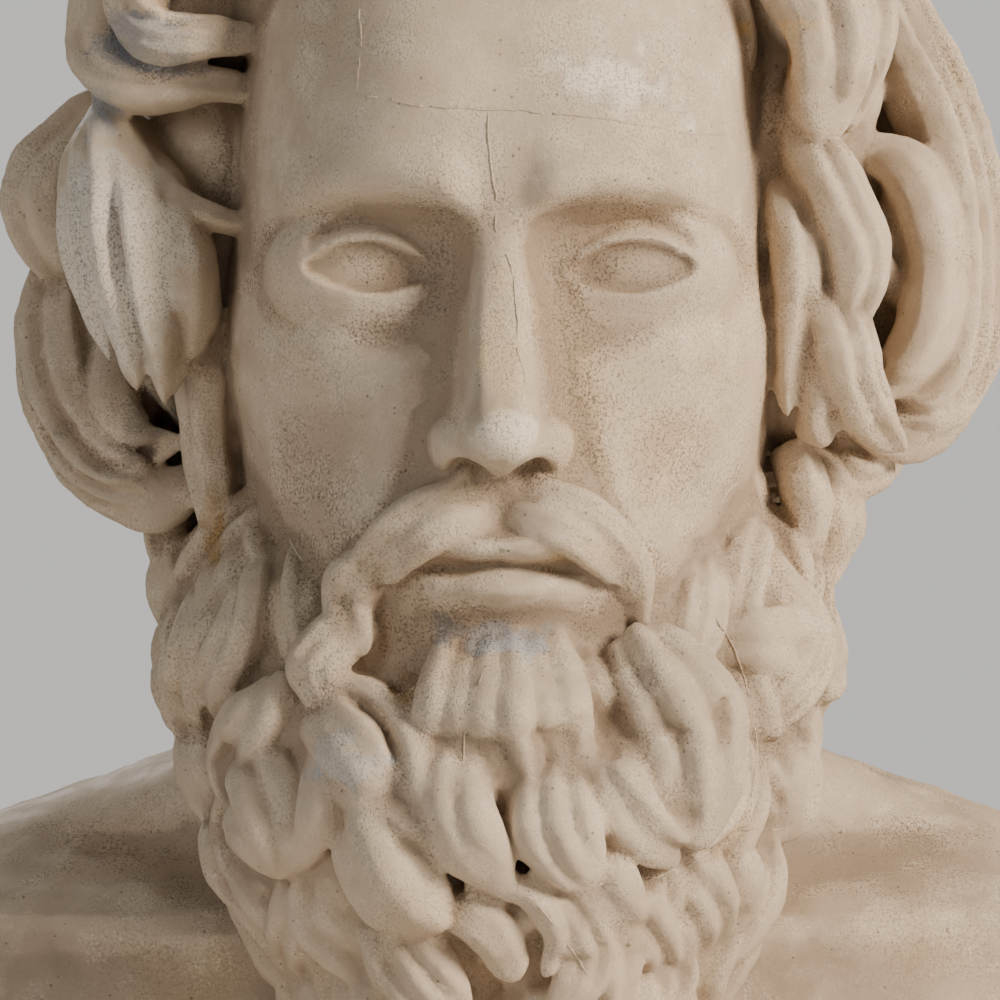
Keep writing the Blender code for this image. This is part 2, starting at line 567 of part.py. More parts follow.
def add_rings(bm, rings):
    """Joins rings of points into one closed skin with a pole at each end. Rings that run the
    wrong way round their path are reversed, so that the skin always faces outwards."""
    rings = to_world(rings)
    facing = np.cross(rings, np.roll(rings, -1, axis=1)).sum(1)
    if (facing * np.gradient(rings.mean(1), axis=0)).sum() < 0:
        rings = rings[:, ::-1]
    grid = [[bm.verts.new(p) for p in ring] for ring in rings]
    sides = len(grid[0])
    for lower, upper in zip(grid, grid[1:]):
        for i in range(sides):
            bm.faces.new((lower[i], lower[(i + 1) % sides], upper[(i + 1) % sides], upper[i]))
    bm.faces.new(reversed(grid[0]))
    bm.faces.new(grid[-1])


def add_mass(bm, centre, radii):
    made = bmesh.ops.create_uvsphere(bm, u_segments=48, v_segments=32, radius=1.0)
    for vert in made["verts"]:
        vert.co = to_world(np.array(centre) + np.array(vert.co) * radii)


def add_face(bm, columns, rows):
    """The face as a thick sheet: a grid pushed forward by face_depth, with its rim drawn back."""
    low, high = FACE_PROFILE[0][0] + 4, FACE_PROFILE[-1][0] - 4
    made = bmesh.ops.create_grid(bm, x_segments=columns, y_segments=rows, size=1.0)["verts"]
    flat = np.array([v.co for v in made])
    z = low + (flat[:, 1] + 1) / 2 * (high - low)
    x = flat[:, 0] * smooth_line(FACE_HALF_WIDTH, z)
    for vert, point in zip(made, to_world(np.stack([x, -face_depth(x, z), z], -1))):
        vert.co = point
    rim = [e for v in made for e in v.link_edges if e.is_boundary]
    drawn = bmesh.ops.extrude_edge_only(bm, edges=list(set(rim)))["geom"]
    back = to_world([0, 8, 0])[1]
    for vert in (g for g in drawn if isinstance(g, bmesh.types.BMVert)):
        vert.co.y = back
    edges = [g for g in drawn if isinstance(g, bmesh.types.BMEdge)]
    bmesh.ops.holes_fill(bm, edges=[e for e in edges if e.is_boundary])
    skin = list({f for e in edges for f in e.link_faces} | {f for v in made for f in v.link_faces})
    bmesh.ops.recalc_face_normals(bm, faces=skin)
    turn_outwards(bm, skin)


def clay():
    """All the masses, the face, the chest and the locks in one mesh, still overlapping."""
    bm = bmesh.new()
    for centre, radii in MASSES.values():
        add_mass(bm, centre, radii)
    add_face(bm, 110, 180)
    add_rings(bm, body_rings())
    for rings in sum(hair_locks(), []) + beard_locks() + crown_and_back_locks():
        add_rings(bm, rings)
    mesh = bpy.data.meshes.new("clay")
    bm.to_mesh(mesh)
    bm.free()
    return mesh


def plaster():
    material = bpy.data.materials.new("aged_plaster")
    material.use_nodes = True
    shader = material.node_tree.nodes["Principled BSDF"]
    shader.inputs["Base Color"].default_value = (0.52, 0.44, 0.36, 1)
    shader.inputs["Roughness"].default_value = 0.75
    return material


def cut_flat(mesh):
    """Cuts the mesh off at z = 0 and closes it, so that the bust stands on a flat underside."""
    bm = bmesh.new()
    bm.from_mesh(mesh)
    geometry = list(bm.verts) + list(bm.edges) + list(bm.faces)
    cut = bmesh.ops.bisect_plane(
        bm, geom=geometry, plane_co=(0, 0, 0), plane_no=(0, 0, 1), clear_inner=True, dist=1e-6
    )["geom_cut"]
    bmesh.ops.contextual_create(bm, geom=[g for g in cut if isinstance(g, bmesh.types.BMEdge)])
    bmesh.ops.triangulate(bm, faces=bm.faces)
    bm.to_mesh(mesh)
    bm.free()


def stand_on_origin(mesh):
    """Moves the mesh so that the origin is under the middle of its outline."""
    points = np.array([v.co for v in mesh.vertices])
    middle = (points.min(0) + points.max(0)) / 2
    mesh.transform(Matrix.Translation((-middle[0], -middle[1], 0)))


def apply_modifiers(obj):
    graph = bpy.context.evaluated_depsgraph_get()
    obj.data = bpy.data.meshes.new_from_object(obj.evaluated_get(graph))
    obj.modifiers.clear()


FACE_REACH, FACE_FRONT, FACE_HEIGHTS = 24, 18, (-38, 14)


def on_face(points):
    """Which of some points in metres are on the face."""
    x, y, z = ((points - to_world([0, 0, 0])) / UNIT).T
    bottom, top = FACE_HEIGHTS
    return (np.abs(x) < FACE_REACH) & (y < -FACE_FRONT) & (z > bottom) & (z < top)


def thin(obj, face_is_thinned, triangles):
    """Thins either the face or everything else to a number of triangles, and spares the other."""
    points = np.array([v.co for v in obj.data.vertices])
    chosen = on_face(points) == face_is_thinned
    group = obj.vertex_groups.new(name="thinned")
    group.add([int(i) for i in np.flatnonzero(chosen)], 1.0, "REPLACE")
    spared = sum(not all(chosen[i] for i in face.vertices) for face in obj.data.polygons)
    modifier = obj.modifiers.new("thin", "DECIMATE")
    modifier.ratio = min(1.0, (spared + triangles) / len(obj.data.polygons))
    modifier.vertex_group = group.name
    modifier.vertex_group_factor = 1000
    apply_modifiers(obj)
    obj.vertex_groups.clear()


def fill_pockets(mesh):
    """Keeps the outer skin only, so that no closed pocket is left between the fused masses."""
    bm = bmesh.new()
    bm.from_mesh(mesh)
    waiting, skins = set(bm.verts), []
    while waiting:
        skin, front = set(), [waiting.pop()]
        while front:
            vert = front.pop()
            skin.add(vert)
            near = {edge.other_vert(vert) for edge in vert.link_edges} & waiting
            waiting -= near
            front.extend(near)
        skins.append(skin)
    outer = max(skins, key=len)
    pockets = [vert for skin in skins if skin is not outer for vert in skin]
    bmesh.ops.delete(bm, geom=pockets, context="VERTS")
    bm.to_mesh(mesh)
    bm.free()


def make_bust(collection):
    bust = new_object("bust", clay(), collection)
    fuse = bust.modifiers.new("fuse", "REMESH")
    fuse.mode = "VOXEL"
    fuse.voxel_size = CLAY_GRAIN
    soften = bust.modifiers.new("soften", "SMOOTH")
    soften.factor = 0.5
    soften.iterations = 1
    in_triangles = bust.modifiers.new("in_triangles", "TRIANGULATE")
    in_triangles.quad_method = "FIXED"
    apply_modifiers(bust)
    fill_pockets(bust.data)
    thin(bust, False, OTHER_TRIANGLES)
    thin(bust, True, FACE_TRIANGLES)
    cut_flat(bust.data)
    stand_on_origin(bust.data)
    bust.data.materials.append(plaster())
    return bust


def main():
    for obj in list(bpy.data.objects):
        bpy.data.objects.remove(obj)
    collection = bpy.data.collections.new("plaster_bust")
    bpy.context.scene.collection.children.link(collection)
    make_bust(collection)


main()
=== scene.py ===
"""The looks of a plaster bust of a bearded classical elder.

The bust is sculpted again with the same masses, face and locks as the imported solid, on a finer
grain, and then gets its mould seams, casting bubbles, dirt, stains, repairs and plaster surface.
"""

import math

import bmesh
import bpy
import numpy as np
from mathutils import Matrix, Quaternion, Vector, noise
from mathutils.bvhtree import BVHTree


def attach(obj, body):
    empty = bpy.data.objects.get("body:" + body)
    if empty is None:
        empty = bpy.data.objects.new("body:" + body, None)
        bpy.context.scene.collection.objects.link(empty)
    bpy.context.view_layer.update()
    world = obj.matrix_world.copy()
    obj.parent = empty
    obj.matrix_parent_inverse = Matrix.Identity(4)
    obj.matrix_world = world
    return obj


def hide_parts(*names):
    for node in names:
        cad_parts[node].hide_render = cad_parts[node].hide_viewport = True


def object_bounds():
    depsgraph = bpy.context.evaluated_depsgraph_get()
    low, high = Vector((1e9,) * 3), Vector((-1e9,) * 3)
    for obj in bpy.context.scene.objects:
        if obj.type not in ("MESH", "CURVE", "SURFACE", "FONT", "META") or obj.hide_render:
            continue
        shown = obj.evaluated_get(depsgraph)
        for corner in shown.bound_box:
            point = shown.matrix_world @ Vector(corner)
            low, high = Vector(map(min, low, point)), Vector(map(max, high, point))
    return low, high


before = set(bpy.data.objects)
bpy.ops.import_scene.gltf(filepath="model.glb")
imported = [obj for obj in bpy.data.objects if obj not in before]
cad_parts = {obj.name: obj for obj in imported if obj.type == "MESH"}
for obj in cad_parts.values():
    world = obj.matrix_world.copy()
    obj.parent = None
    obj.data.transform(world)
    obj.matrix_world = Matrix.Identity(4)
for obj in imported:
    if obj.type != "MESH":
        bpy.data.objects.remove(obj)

CAD_BOX = [list(corner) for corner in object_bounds()]

# Driving dimensions, in metres.
HEAD_HEIGHT = 0.265  # chin to crown of the skull, without the hair
BUST_HEIGHT = 0.560  # flat underside to the top of the hair
SHOULDER_WIDTH = 0.440  # between the flat cuts of the two arms
CHEST_DEPTH = 0.225  # breastbone to back, at the underside
CLAY_GRAIN = 0.0010  # voxel that fuses the masses
TRIANGLES = 182000  # of the bust, before seams and bubbles

# Carving is given in hundredths of the head height, from the point between the eyes:
# x to the viewer's right, y backwards, z upwards.
UNIT = HEAD_HEIGHT / 100
HAIR_TOP = 54.9
EYE_LEVEL = BUST_HEIGHT - HAIR_TOP * UNIT
HEAD_FORWARD = 0.012
RANDOM_SEED = 7


def to_world(points):
    """Carving coordinates to metres, with the flat underside at z = 0."""
    return np.asarray(points, float) * UNIT + np.array([0.0, -HEAD_FORWARD, EYE_LEVEL])


# Curves and bumps


def bump(x, z, at_x, at_z, wide_x, wide_z):
    return np.exp(-(((x - at_x) / wide_x) ** 2) - ((z - at_z) / wide_z) ** 2)


def rise(value, low, high):
    """0 below low, 1 above high, and smooth between them."""
    t = np.clip((value - low) / (high - low), 0, 1)
    return t * t * (3 - 2 * t)


def soft_max(a, b, blend):
    share = np.clip(0.5 + 0.5 * (a - b) / blend, 0, 1)
    return b + (a - b) * share + blend * share * (1 - share)


def smooth_line(knots, at):
    """A smooth line through knots of (position, value), rising in position."""
    positions, values = np.array(knots, float).T
    slopes = np.gradient(values, positions)
    i = np.clip(np.searchsorted(positions, at) - 1, 0, len(positions) - 2)
    span = positions[i + 1] - positions[i]
    t = np.clip((at - positions[i]) / span, 0, 1)
    rest = 1 - t
    return (
        values[i] * (1 + 2 * t) * rest**2
        + values[i + 1] * (3 - 2 * t) * t**2
        + span * t * rest * (slopes[i] * rest - slopes[i + 1] * t)
    )


# The face: how far forward it stands at each x and z

FACE_PROFILE = [
    (-58, 20), (-50, 31.5), (-44, 35.6), (-37, 34.0), (-31, 36.0), (-26, 36.6), (-20, 35.6),
    (-13, 34.4), (-5, 34.2), (2, 35.4), (8, 37.2), (16, 36.8), (26, 34.6), (36, 29), (46, 19),
]
FACE_HALF_WIDTH = [
    (-58, 9), (-48, 17), (-38, 22.5), (-26, 26.5), (-15, 29), (-6, 30.2), (4, 29.4), (16, 28.6),
    (28, 27), (38, 23), (46, 17),
]
FACE_SQUARENESS = 2.3
NOSE_HEIGHT = [
    (-22.4, 0), (-20.8, 1.6), (-19.2, 7.4), (-16.5, 10.6), (-12, 9.2), (-5, 5.8), (1, 2.7),
    (6, 0.3), (9, 0),
]
EYE_X, EYE_DEPTH, EYE_HALF_WIDTH = 13.4, 25.7, 6.6
MOUTH_Z = -30.0


def front_of_ball(x, z, centre, radii):
    """Front depth of an ellipsoid, centre given as (x, depth, z), falling away outside it."""
    q = ((x - centre[0]) / radii[0]) ** 2 + ((z - centre[2]) / radii[2]) ** 2
    return centre[1] + radii[1] * np.sqrt(np.clip(1 - q, 0, 1)) - 40 * np.clip(q - 1, 0, 2)


def head_form(x, z):
    """The egg of the face, with no features."""
    profile = smooth_line(FACE_PROFILE, z)
    across = np.clip(np.abs(x) / smooth_line(FACE_HALF_WIDTH, z), 0, 1)
    return (profile + 2) * (1 - across**FACE_SQUARENESS) ** (1 / FACE_SQUARENESS) - 2


def bones(x, z):
    """Forehead, cheekbones, hollow cheeks, temples and chin."""
    side = np.abs(x)
    return (
        0.8 * bump(side, z, 9, 20, 8, 6)
        - 1.8 * bump(side, z, 28, 12, 5, 10)
        + 1.7 * bump(side, z, 20.5, -7.5, 7, 4.5)
        - 1.9 * bump(side, z, 20, -22, 6.5, 8)
        + 1.4 * bump(side, z, 0, -44, 6, 5)
        - 0.7 * bump(side, z, 10, -7, 5, 1.8)
    )


def brow(x, z):
    """The brow ridge, soft above and sharp below."""
    side = np.abs(x)
    crest = 6.4 + 2.2 * (1 - ((side - 12.5) / 10) ** 2)
    above = z - crest
    height = 2.3 * rise(side, 1.5, 6) * (1 - rise(side, 19, 26))
    return height * np.exp(-((above / np.where(above > 0, 4.2, 1.5)) ** 2))


def nose(x, z):
    """Ridge and flanks, above the form of the face."""
    side = np.abs(x)
    height = smooth_line(NOSE_HEIGHT, z)
    ridge = smooth_line([(-20, 1.6), (-13, 1.5), (-5, 1.6), (3, 1.6), (8, 2.6)], z)
    foot = smooth_line([(-20, 6.8), (-13, 7.2), (-5, 6.0), (3, 5.2), (8, 7)], z)
    return height * (1 - rise(side, ridge, foot))


def eye(x, z, depth):
    """Blank eyeball and two lids, set into a socket."""
    side = np.abs(x)
    socket = 5.2 * bump(side, z, 12.6, 1.0, 8.8, 5.4)
    corner = 2.2 * bump(side, z, 7.2, 1.8, 2.6, 3.6)
    depth = depth - socket - corner
    tilt = z - 0.05 * (side - EYE_X)
    across = np.clip(np.abs(side - EYE_X) / EYE_HALF_WIDTH, 0, 1)
    upper = 3.0 * (1 - across**2) ** 0.75
    lower = -2.2 * (1 - across**2) ** 0.85
    opening = rise(upper - tilt, -0.15, 0.25) * rise(tilt - lower, -0.15, 0.25)
    opening = opening * (across < 1)
    ball = front_of_ball(side, z, (EYE_X, EYE_DEPTH, 0.2), (9.0, 5.5, 7.0))
    lid = front_of_ball(side, z, (EYE_X - 0.4, EYE_DEPTH - 2.0, 0.2), (11.0, 9.2, 8.3))
    depth = soft_max(depth, lid, 2.2)
    crease = tilt - (5.0 - 3.6 * (across * 0.9) ** 2)
    depth = depth - 1.5 * np.exp(-((crease / 0.7) ** 2)) * (1 - rise(across, 0.85, 1))
    return depth + opening * (ball - depth)


def lips(x, z):
    side = np.abs(x)
    line = MOUTH_Z + 0.35 * np.cos(side / 2.2) * np.exp(-side / 6)
    within = 1 - rise(side, 6.5, 9.5)
    return within * (
        1.6 * bump(side, z, 2.2, MOUTH_Z + 1.9, 6.0, 1.3)
        - 2.0 * np.exp(-(((z - line) / 0.55) ** 2))
        + 2.2 * bump(side, z, 0, MOUTH_Z - 2.6, 5.8, 1.6)
        - 0.7 * bump(side, z, 0, MOUTH_Z + 6, 1.1, 2.4)
    ) - 1.0 * bump(side, z, 10.2, MOUTH_Z - 0.3, 1.6, 1.6)


def face_depth(x, z):
    side = np.abs(x)
    depth = head_form(x, z) + bones(x, z) + brow(x, z)
    depth = eye(x, z, depth)
    depth = depth + nose(x, z)
    tip = front_of_ball(side, z, (0, 38.6, -16.5), (4.2, 7.9, 4.2))
    wing = front_of_ball(side, z, (4.1, 32.6, -17.4), (3.4, 7.6, 3.6))
    depth = soft_max(soft_max(depth, tip, 2.8), wing, 2.6)
    depth = depth - 3.0 * bump(side, z, 3.0, -20.7, 1.6, 0.9)
    fold = side - (8.2 + 0.45 * (-18 - z))
    depth = depth - 0.7 * np.exp(-((fold / 1.3) ** 2)) * rise(z, -31, -26) * (1 - rise(z, -19, -16))
    return depth + lips(x, z)


# The masses that carry the hair and beard: centre and radii

MASSES = {
    "skull": ((0, 2, 12), (28.5, 36, 37.5)),
    "jaw": ((0, -7, -22), (24, 26, 27)),
    "hair_cap": ((0, 8, 13), (32.0, 36.5, 39.5)),
    "nape_hair": ((0, 20, -16), (29, 24, 24)),
    "hair_left": ((-29, 12, -1), (17, 19, 24)),
    "hair_right": ((30, 12, 5), (17.5, 19, 27)),
    "temple_left": ((-31, -2, 9), (8.5, 9.5, 17)),
    "curls_left": ((-31, -5, 29), (9, 8, 11)),
    "temple_right": ((31.5, -2, 3), (8, 10, 22)),
    "scroll_left": ((-39, 2, -10), (7.5, 7, 11)),
    "scroll_right": ((41, 3, 3), (7, 6, 13)),
    "beard_cheeks": ((0, -7, -38), (32, 25, 20)),
    "beard_body": ((0, -14, -57), (25.5, 21, 22.5)),
    "beard_tip": ((0, -17, -72), (18.5, 15, 14.5)),
}
HEAD_AXIS = np.array([0.0, 4.0, 0.0])
BEARD_AXIS = np.array([0.0, -6.0, 0.0])
HAIR_MASSES = ("hair_cap", "nape_hair", "hair_left", "hair_right")
BEARD_MASSES = ("beard_cheeks", "beard_body", "beard_tip")
LEAST_REACH = 12.0
FRONT_LEAN = 22.0  # how much the side locks face the front


def front_of_masses(x, z):
    """How far forward (as y) the face, hair and beard masses stand behind a lock."""
    depth = np.where(np.abs(x) < FACE_HALF_WIDTH[4][1], head_form(x, z) - 0.6, -60.0)
    for (cx, cy, cz), radii in MASSES.values():
        q = ((x - cx) / radii[0]) ** 2 + ((z - cz) / radii[2]) ** 2
        mass = -cy + radii[1] * np.sqrt(np.clip(1 - q, 0, 1)) - 4 * np.clip(q - 1, 0, 3)
        depth = np.maximum(depth, mass)
    return -depth


def reach_round(names, axis_y, angle, z):
    """The outermost points of some masses at heights z, in directions round an upright axis from
    0 in front to 180 behind, evened out so that a lock laid over them runs smoothly."""
    turn = np.radians(angle)
    dx, dy = np.sin(turn), -np.cos(turn)
    reach = np.full(len(z), LEAST_REACH)
    for name in names:
        (cx, cy, cz), (rx, ry, rz) = MASSES[name]
        ox, oy = -cx / rx, (axis_y - cy) / ry
        a = (dx / rx) ** 2 + (dy / ry) ** 2
        b = ox * dx / rx + oy * dy / ry
        inside = b**2 - a * (ox**2 + oy**2 - 1 + ((z - cz) / rz) ** 2)
        here = np.where(inside > 0, (-b + np.sqrt(np.clip(inside, 0, None))) / a, 0)
        reach = np.maximum(reach, here)
    for _ in range(3):
        reach[1:-1] = (reach[:-2] + 2 * reach[1:-1] + reach[2:]) / 4
    return np.stack([reach * dx, axis_y + reach * dy, z], -1)


# Locks

LOCK_STEPS = 30
STRAND_SIDES = 16
END_FROM = 0.8  # share of a blunt lock's length where its round end begins
CORE_TOP = 0.50  # how high the core stands between the strands, as a share of their height
CORE_TUCK = 0.42  # how far the core draws in below, which undercuts a lock's edges
LONE_STRAND = 0.6  # share of a lock's width that a single strand takes up
BEARD_RELIEF = 2.4  # how much further than the others the locks of the lower beard stand out


def unit(vectors):
    return vectors / np.linalg.norm(vectors, axis=-1, keepdims=True)


def sweep(spine, across, out, wide, high, foot=None):
    """Rings along a spine, wide across it and high outwards at each of its points. A foot reaches
    down behind the spine and draws in on its way."""
    turn = np.linspace(0, 2 * math.pi, STRAND_SIDES, endpoint=False)
    down = np.clip(-np.sin(turn), 0, 1)
    sideways = wide[:, None] * np.cos(turn) * (1 - CORE_TUCK * down * (foot is not None))
    upwards = high[:, None] * np.sin(turn)
    if foot is not None:
        upwards = high[:, None] * np.clip(np.sin(turn), 0, 1) - foot[:, None] * down
    ring = across[:, None, :] * sideways[:, :, None] + out[:, None, :] * upwards[:, :, None]
    return spine[:, None, :] + ring


def swell(t, blunt):
    """How wide a lock is along its length: narrow at the root, full, then pointed or round."""
    full = np.clip(np.sin(math.pi * (0.08 + (0.92 - 0.30 * blunt) * t) ** 0.85), 0, 1) ** 0.62
    end = np.clip((t - END_FROM) / (1 - END_FROM), 0, 1)
    return full * np.sqrt(1 - end**2) + 0.03 if blunt else full + 0.03


def bundle(spine, out, width, height, foot, strands, blunt=0.0, uneven=0.0):
    """A carved lock: strands side by side over a core that reaches down by its foot to what is
    behind. They part in the middle of the lock and meet at its tip, and the outer ones stop a
    little short."""
    t = np.linspace(0, 1, LOCK_STEPS)
    along = unit(np.gradient(spine, axis=0))
    out = unit(out - (out * along).sum(1, keepdims=True) * along)
    across = np.cross(along, out)
    full = swell(t, blunt)
    depth = foot * np.clip(full * 1.6, 0, 1)
    made = [sweep(spine, across, out, width * 0.96 * full, CORE_TOP * height * full, depth)]
    share = LONE_STRAND if strands == 1 else 1.12 / strands
    for i in range(strands):
        place = (2 * i + 1) / strands - 1
        short = 0.95 - (0.05 + 0.06 * blunt) * math.sin(5.3 * i + 9 * uneven) - 0.10 * abs(place)
        reach = t * short
        offset = place * width * (1 - 0.6 / strands) * swell(reach, blunt)
        sink = 0.38 * height * place**2 - 0.12 * height * math.sin(3.7 * i + 5 * uneven)
        path = spine + across * offset[:, None] - out * sink
        path = np.stack([np.interp(reach, t, path[:, axis]) for axis in range(3)], -1)
        thick = full * (1 - 0.12 * abs(place))
        made.append(sweep(path, across, out, width * share * thick, height * thick))
    return made


def outwards(spine):
    """Away from the upright axis of the head and towards the front, at each point of a spine."""
    out = spine - HEAD_AXIS
    out[:, 1] -= FRONT_LEAN
    out[:, 2] *= 0.25
    return out


def lock(knots, width, lift=1.5, strands=3, blunt=0.0, height=0.6):
    """A lock seen from the front, which runs smoothly through knots (x, z) from its root to its
    tip and stands lift above the mass behind it. Its height is a share of its width."""
    knots = np.array(knots, float)
    t = np.linspace(0, 1, LOCK_STEPS)
    at = np.concatenate([[0], np.cumsum(np.linalg.norm(np.diff(knots, axis=0), axis=1))])
    path = np.stack([smooth_line(list(zip(at / at[-1], knots[:, i])), t) for i in (0, 1)], -1)
    raised = lift + width * (0.3 * np.sin(math.pi * t) - 0.8 * (1 - t) ** 3)
    raised = raised + BEARD_RELIEF * rise(-path[:, 1], 38, 50)
    y = front_of_masses(path[:, 0], path[:, 1]) - raised
    spine = np.stack([path[:, 0], y, path[:, 1]], -1)
    foot = np.clip(raised, 0, None) + width * height
    return bundle(spine, outwards(spine), width, height * width, foot, strands, blunt, knots[0][0])


def curl(knots, width, height, strands=3, blunt=0.0):
    """A free-standing lock through a few knots (x, y, z), for the scrolls at the sides."""
    knots = np.array(knots, float)
    at = np.linspace(0, len(knots) - 1, LOCK_STEPS)
    spine = np.stack([smooth_line(list(enumerate(knots[:, i])), at) for i in range(3)], -1)
    foot = 1.6 * height
    return bundle(spine, outwards(spine), width, height, foot, strands, blunt, knots[0][0])


def hanging_lock(names, axis, angle, top, drop, width, bend, lift):
    """A plainer wavy lock laid over some masses, hanging down at an angle round their axis."""
    t = np.linspace(0, 1, LOCK_STEPS)
    angles = angle + bend * (np.sin(1.7 * math.pi * t) + 0.4 * t)
    spine = reach_round(names, axis[1], angles, top - drop * t)
    out = spine - axis
    out[:, 2] = 0.6 * (out[:, 2] - MASSES[names[0]][0][2])
    out = unit(out)
    raised = lift + 1.8 * np.sin(math.pi * t) - 1.5 * (1 - t) ** 3
    spine = spine + out * raised[:, None]
    return bundle(spine, out, width, 0.55 * width, lift + 2, 3, uneven=angle)


def hair_locks():
    """The scrolls at the two sides of the face."""
    right = [
        curl([(22, -12, 42), (31, -17, 33), (34.5, -19, 24), (33.5, -17, 13.5)], 5.0, 4.2, 3, 0.75),
        curl([(30, -6, 46), (37, -9, 36), (39, -9, 25), (36.5, -10, 15)], 4.4, 3.6, 3),
        curl(
            [(26, 3, 46), (38.5, 1, 34), (47, -1, 18), (50, -2, 3), (48.8, -3, -10),
             (44, -5, -15.8), (35, -6, -14)],
            5.2, 4.2, 4, 0.4,
        ),
        curl(
            [(37, -4, 14), (43, -6, 12), (46, -7, 4), (45.6, -8, -5), (41.5, -8, -11),
             (36, -8, -9)],
            3.4, 3.0, 2,
        ),
        curl(
            [(30, -12, 19), (34, -15.5, 11), (37.6, -16, 3), (37, -15, -3), (33, -12, -7)],
            4.2, 3.4, 3,
        ),
        curl([(29, -12, 12), (30.6, -16, 4), (30.8, -15.5, -5), (30, -14, -15)], 2.6, 2.6, 2),
        curl([(32, -12, 4), (35.5, -15, -5), (37.5, -14, -12), (42, -10, -18)], 3.6, 3.0, 3, 0.6),
        curl([(31.5, -11, 0), (33.5, -13.5, -8), (33.8, -13, -18)], 2.8, 2.6, 2, 0.8),
        curl([(32, -2, -17), (37, -3, -20.5), (42, -2, -18.5)], 3.2, 3.0, 2, 0.5),
        curl([(31, -8, -17), (33.0, -9, -24), (32.4, -9, -31)], 2.9, 2.6, 2),
        curl([(33, -2, -18), (36, -4, -25), (34.5, -5, -33)], 3.2, 2.8, 2),
    ]
    left = [
        curl(
            [(-20, -12, 44), (-32, -17, 37), (-38, -17, 30), (-36, -18, 25), (-29, -17, 25),
             (-21, -11, 25)],
            3.6, 3.2, 3,
        ),
        curl(
            [(-28, -8, 40), (-39, -10, 33), (-42.5, -11, 25), (-38, -14, 20), (-30, -15, 20),
             (-21, -10, 19)],
            3.4, 3.2, 2,
        ),
        curl(
            [(-42, -4, 27), (-40.5, -12, 16.5), (-36, -15, 9.5), (-29, -15.5, 6), (-21, -10, 5)],
            2.2, 2.4, 1,
        ),
        curl(
            [(-41, -8, 19), (-43.4, -13.5, 10), (-43.2, -15, 1), (-40.8, -13.5, -9)],
            2.6, 3.2, 2, 0.3,
        ),
        curl(
            [(-41, -9, 18), (-40.6, -16, 10), (-40.4, -18.5, 0), (-37.8, -17, -12)],
            2.6, 3.8, 2, 0.3,
        ),
        curl(
            [(-40, -9, 17), (-37.8, -16.5, 9), (-36.8, -19, 0), (-34.8, -17, -13.5)],
            2.5, 3.8, 2, 0.3,
        ),
        curl(
            [(-39, -9, 15), (-34.8, -15.5, 8), (-32.6, -17.5, 0), (-32.4, -15.5, -9)],
            2.3, 3.4, 1, 0.3,
        ),
        curl([(-42, 1, 19), (-49, -2, 10), (-47, -3, 0)], 4.6, 4.0, 3, 0.5),
        curl(
            [(-43, 3, 10), (-47.5, 0, -1), (-46.8, -3, -11), (-43, -6, -19), (-37, -8, -23),
             (-30, -8, -20)],
            5.2, 4.4, 4, 0.3,
        ),
        curl([(-40, -1, -2), (-41.5, -5, -11), (-38.5, -8, -17), (-33, -9, -17)], 3.4, 3.0, 2),
        curl(
            [(-30, -8, 4), (-31.5, -11, -8), (-30.8, -11, -20), (-29, -12, -32)],
            3.2, 3.0, 2, 0.2,
        ),
        curl([(-33, 0, -18), (-35, -3, -26), (-34, -5, -34)], 3.2, 2.8, 2),
    ]
    return right + left


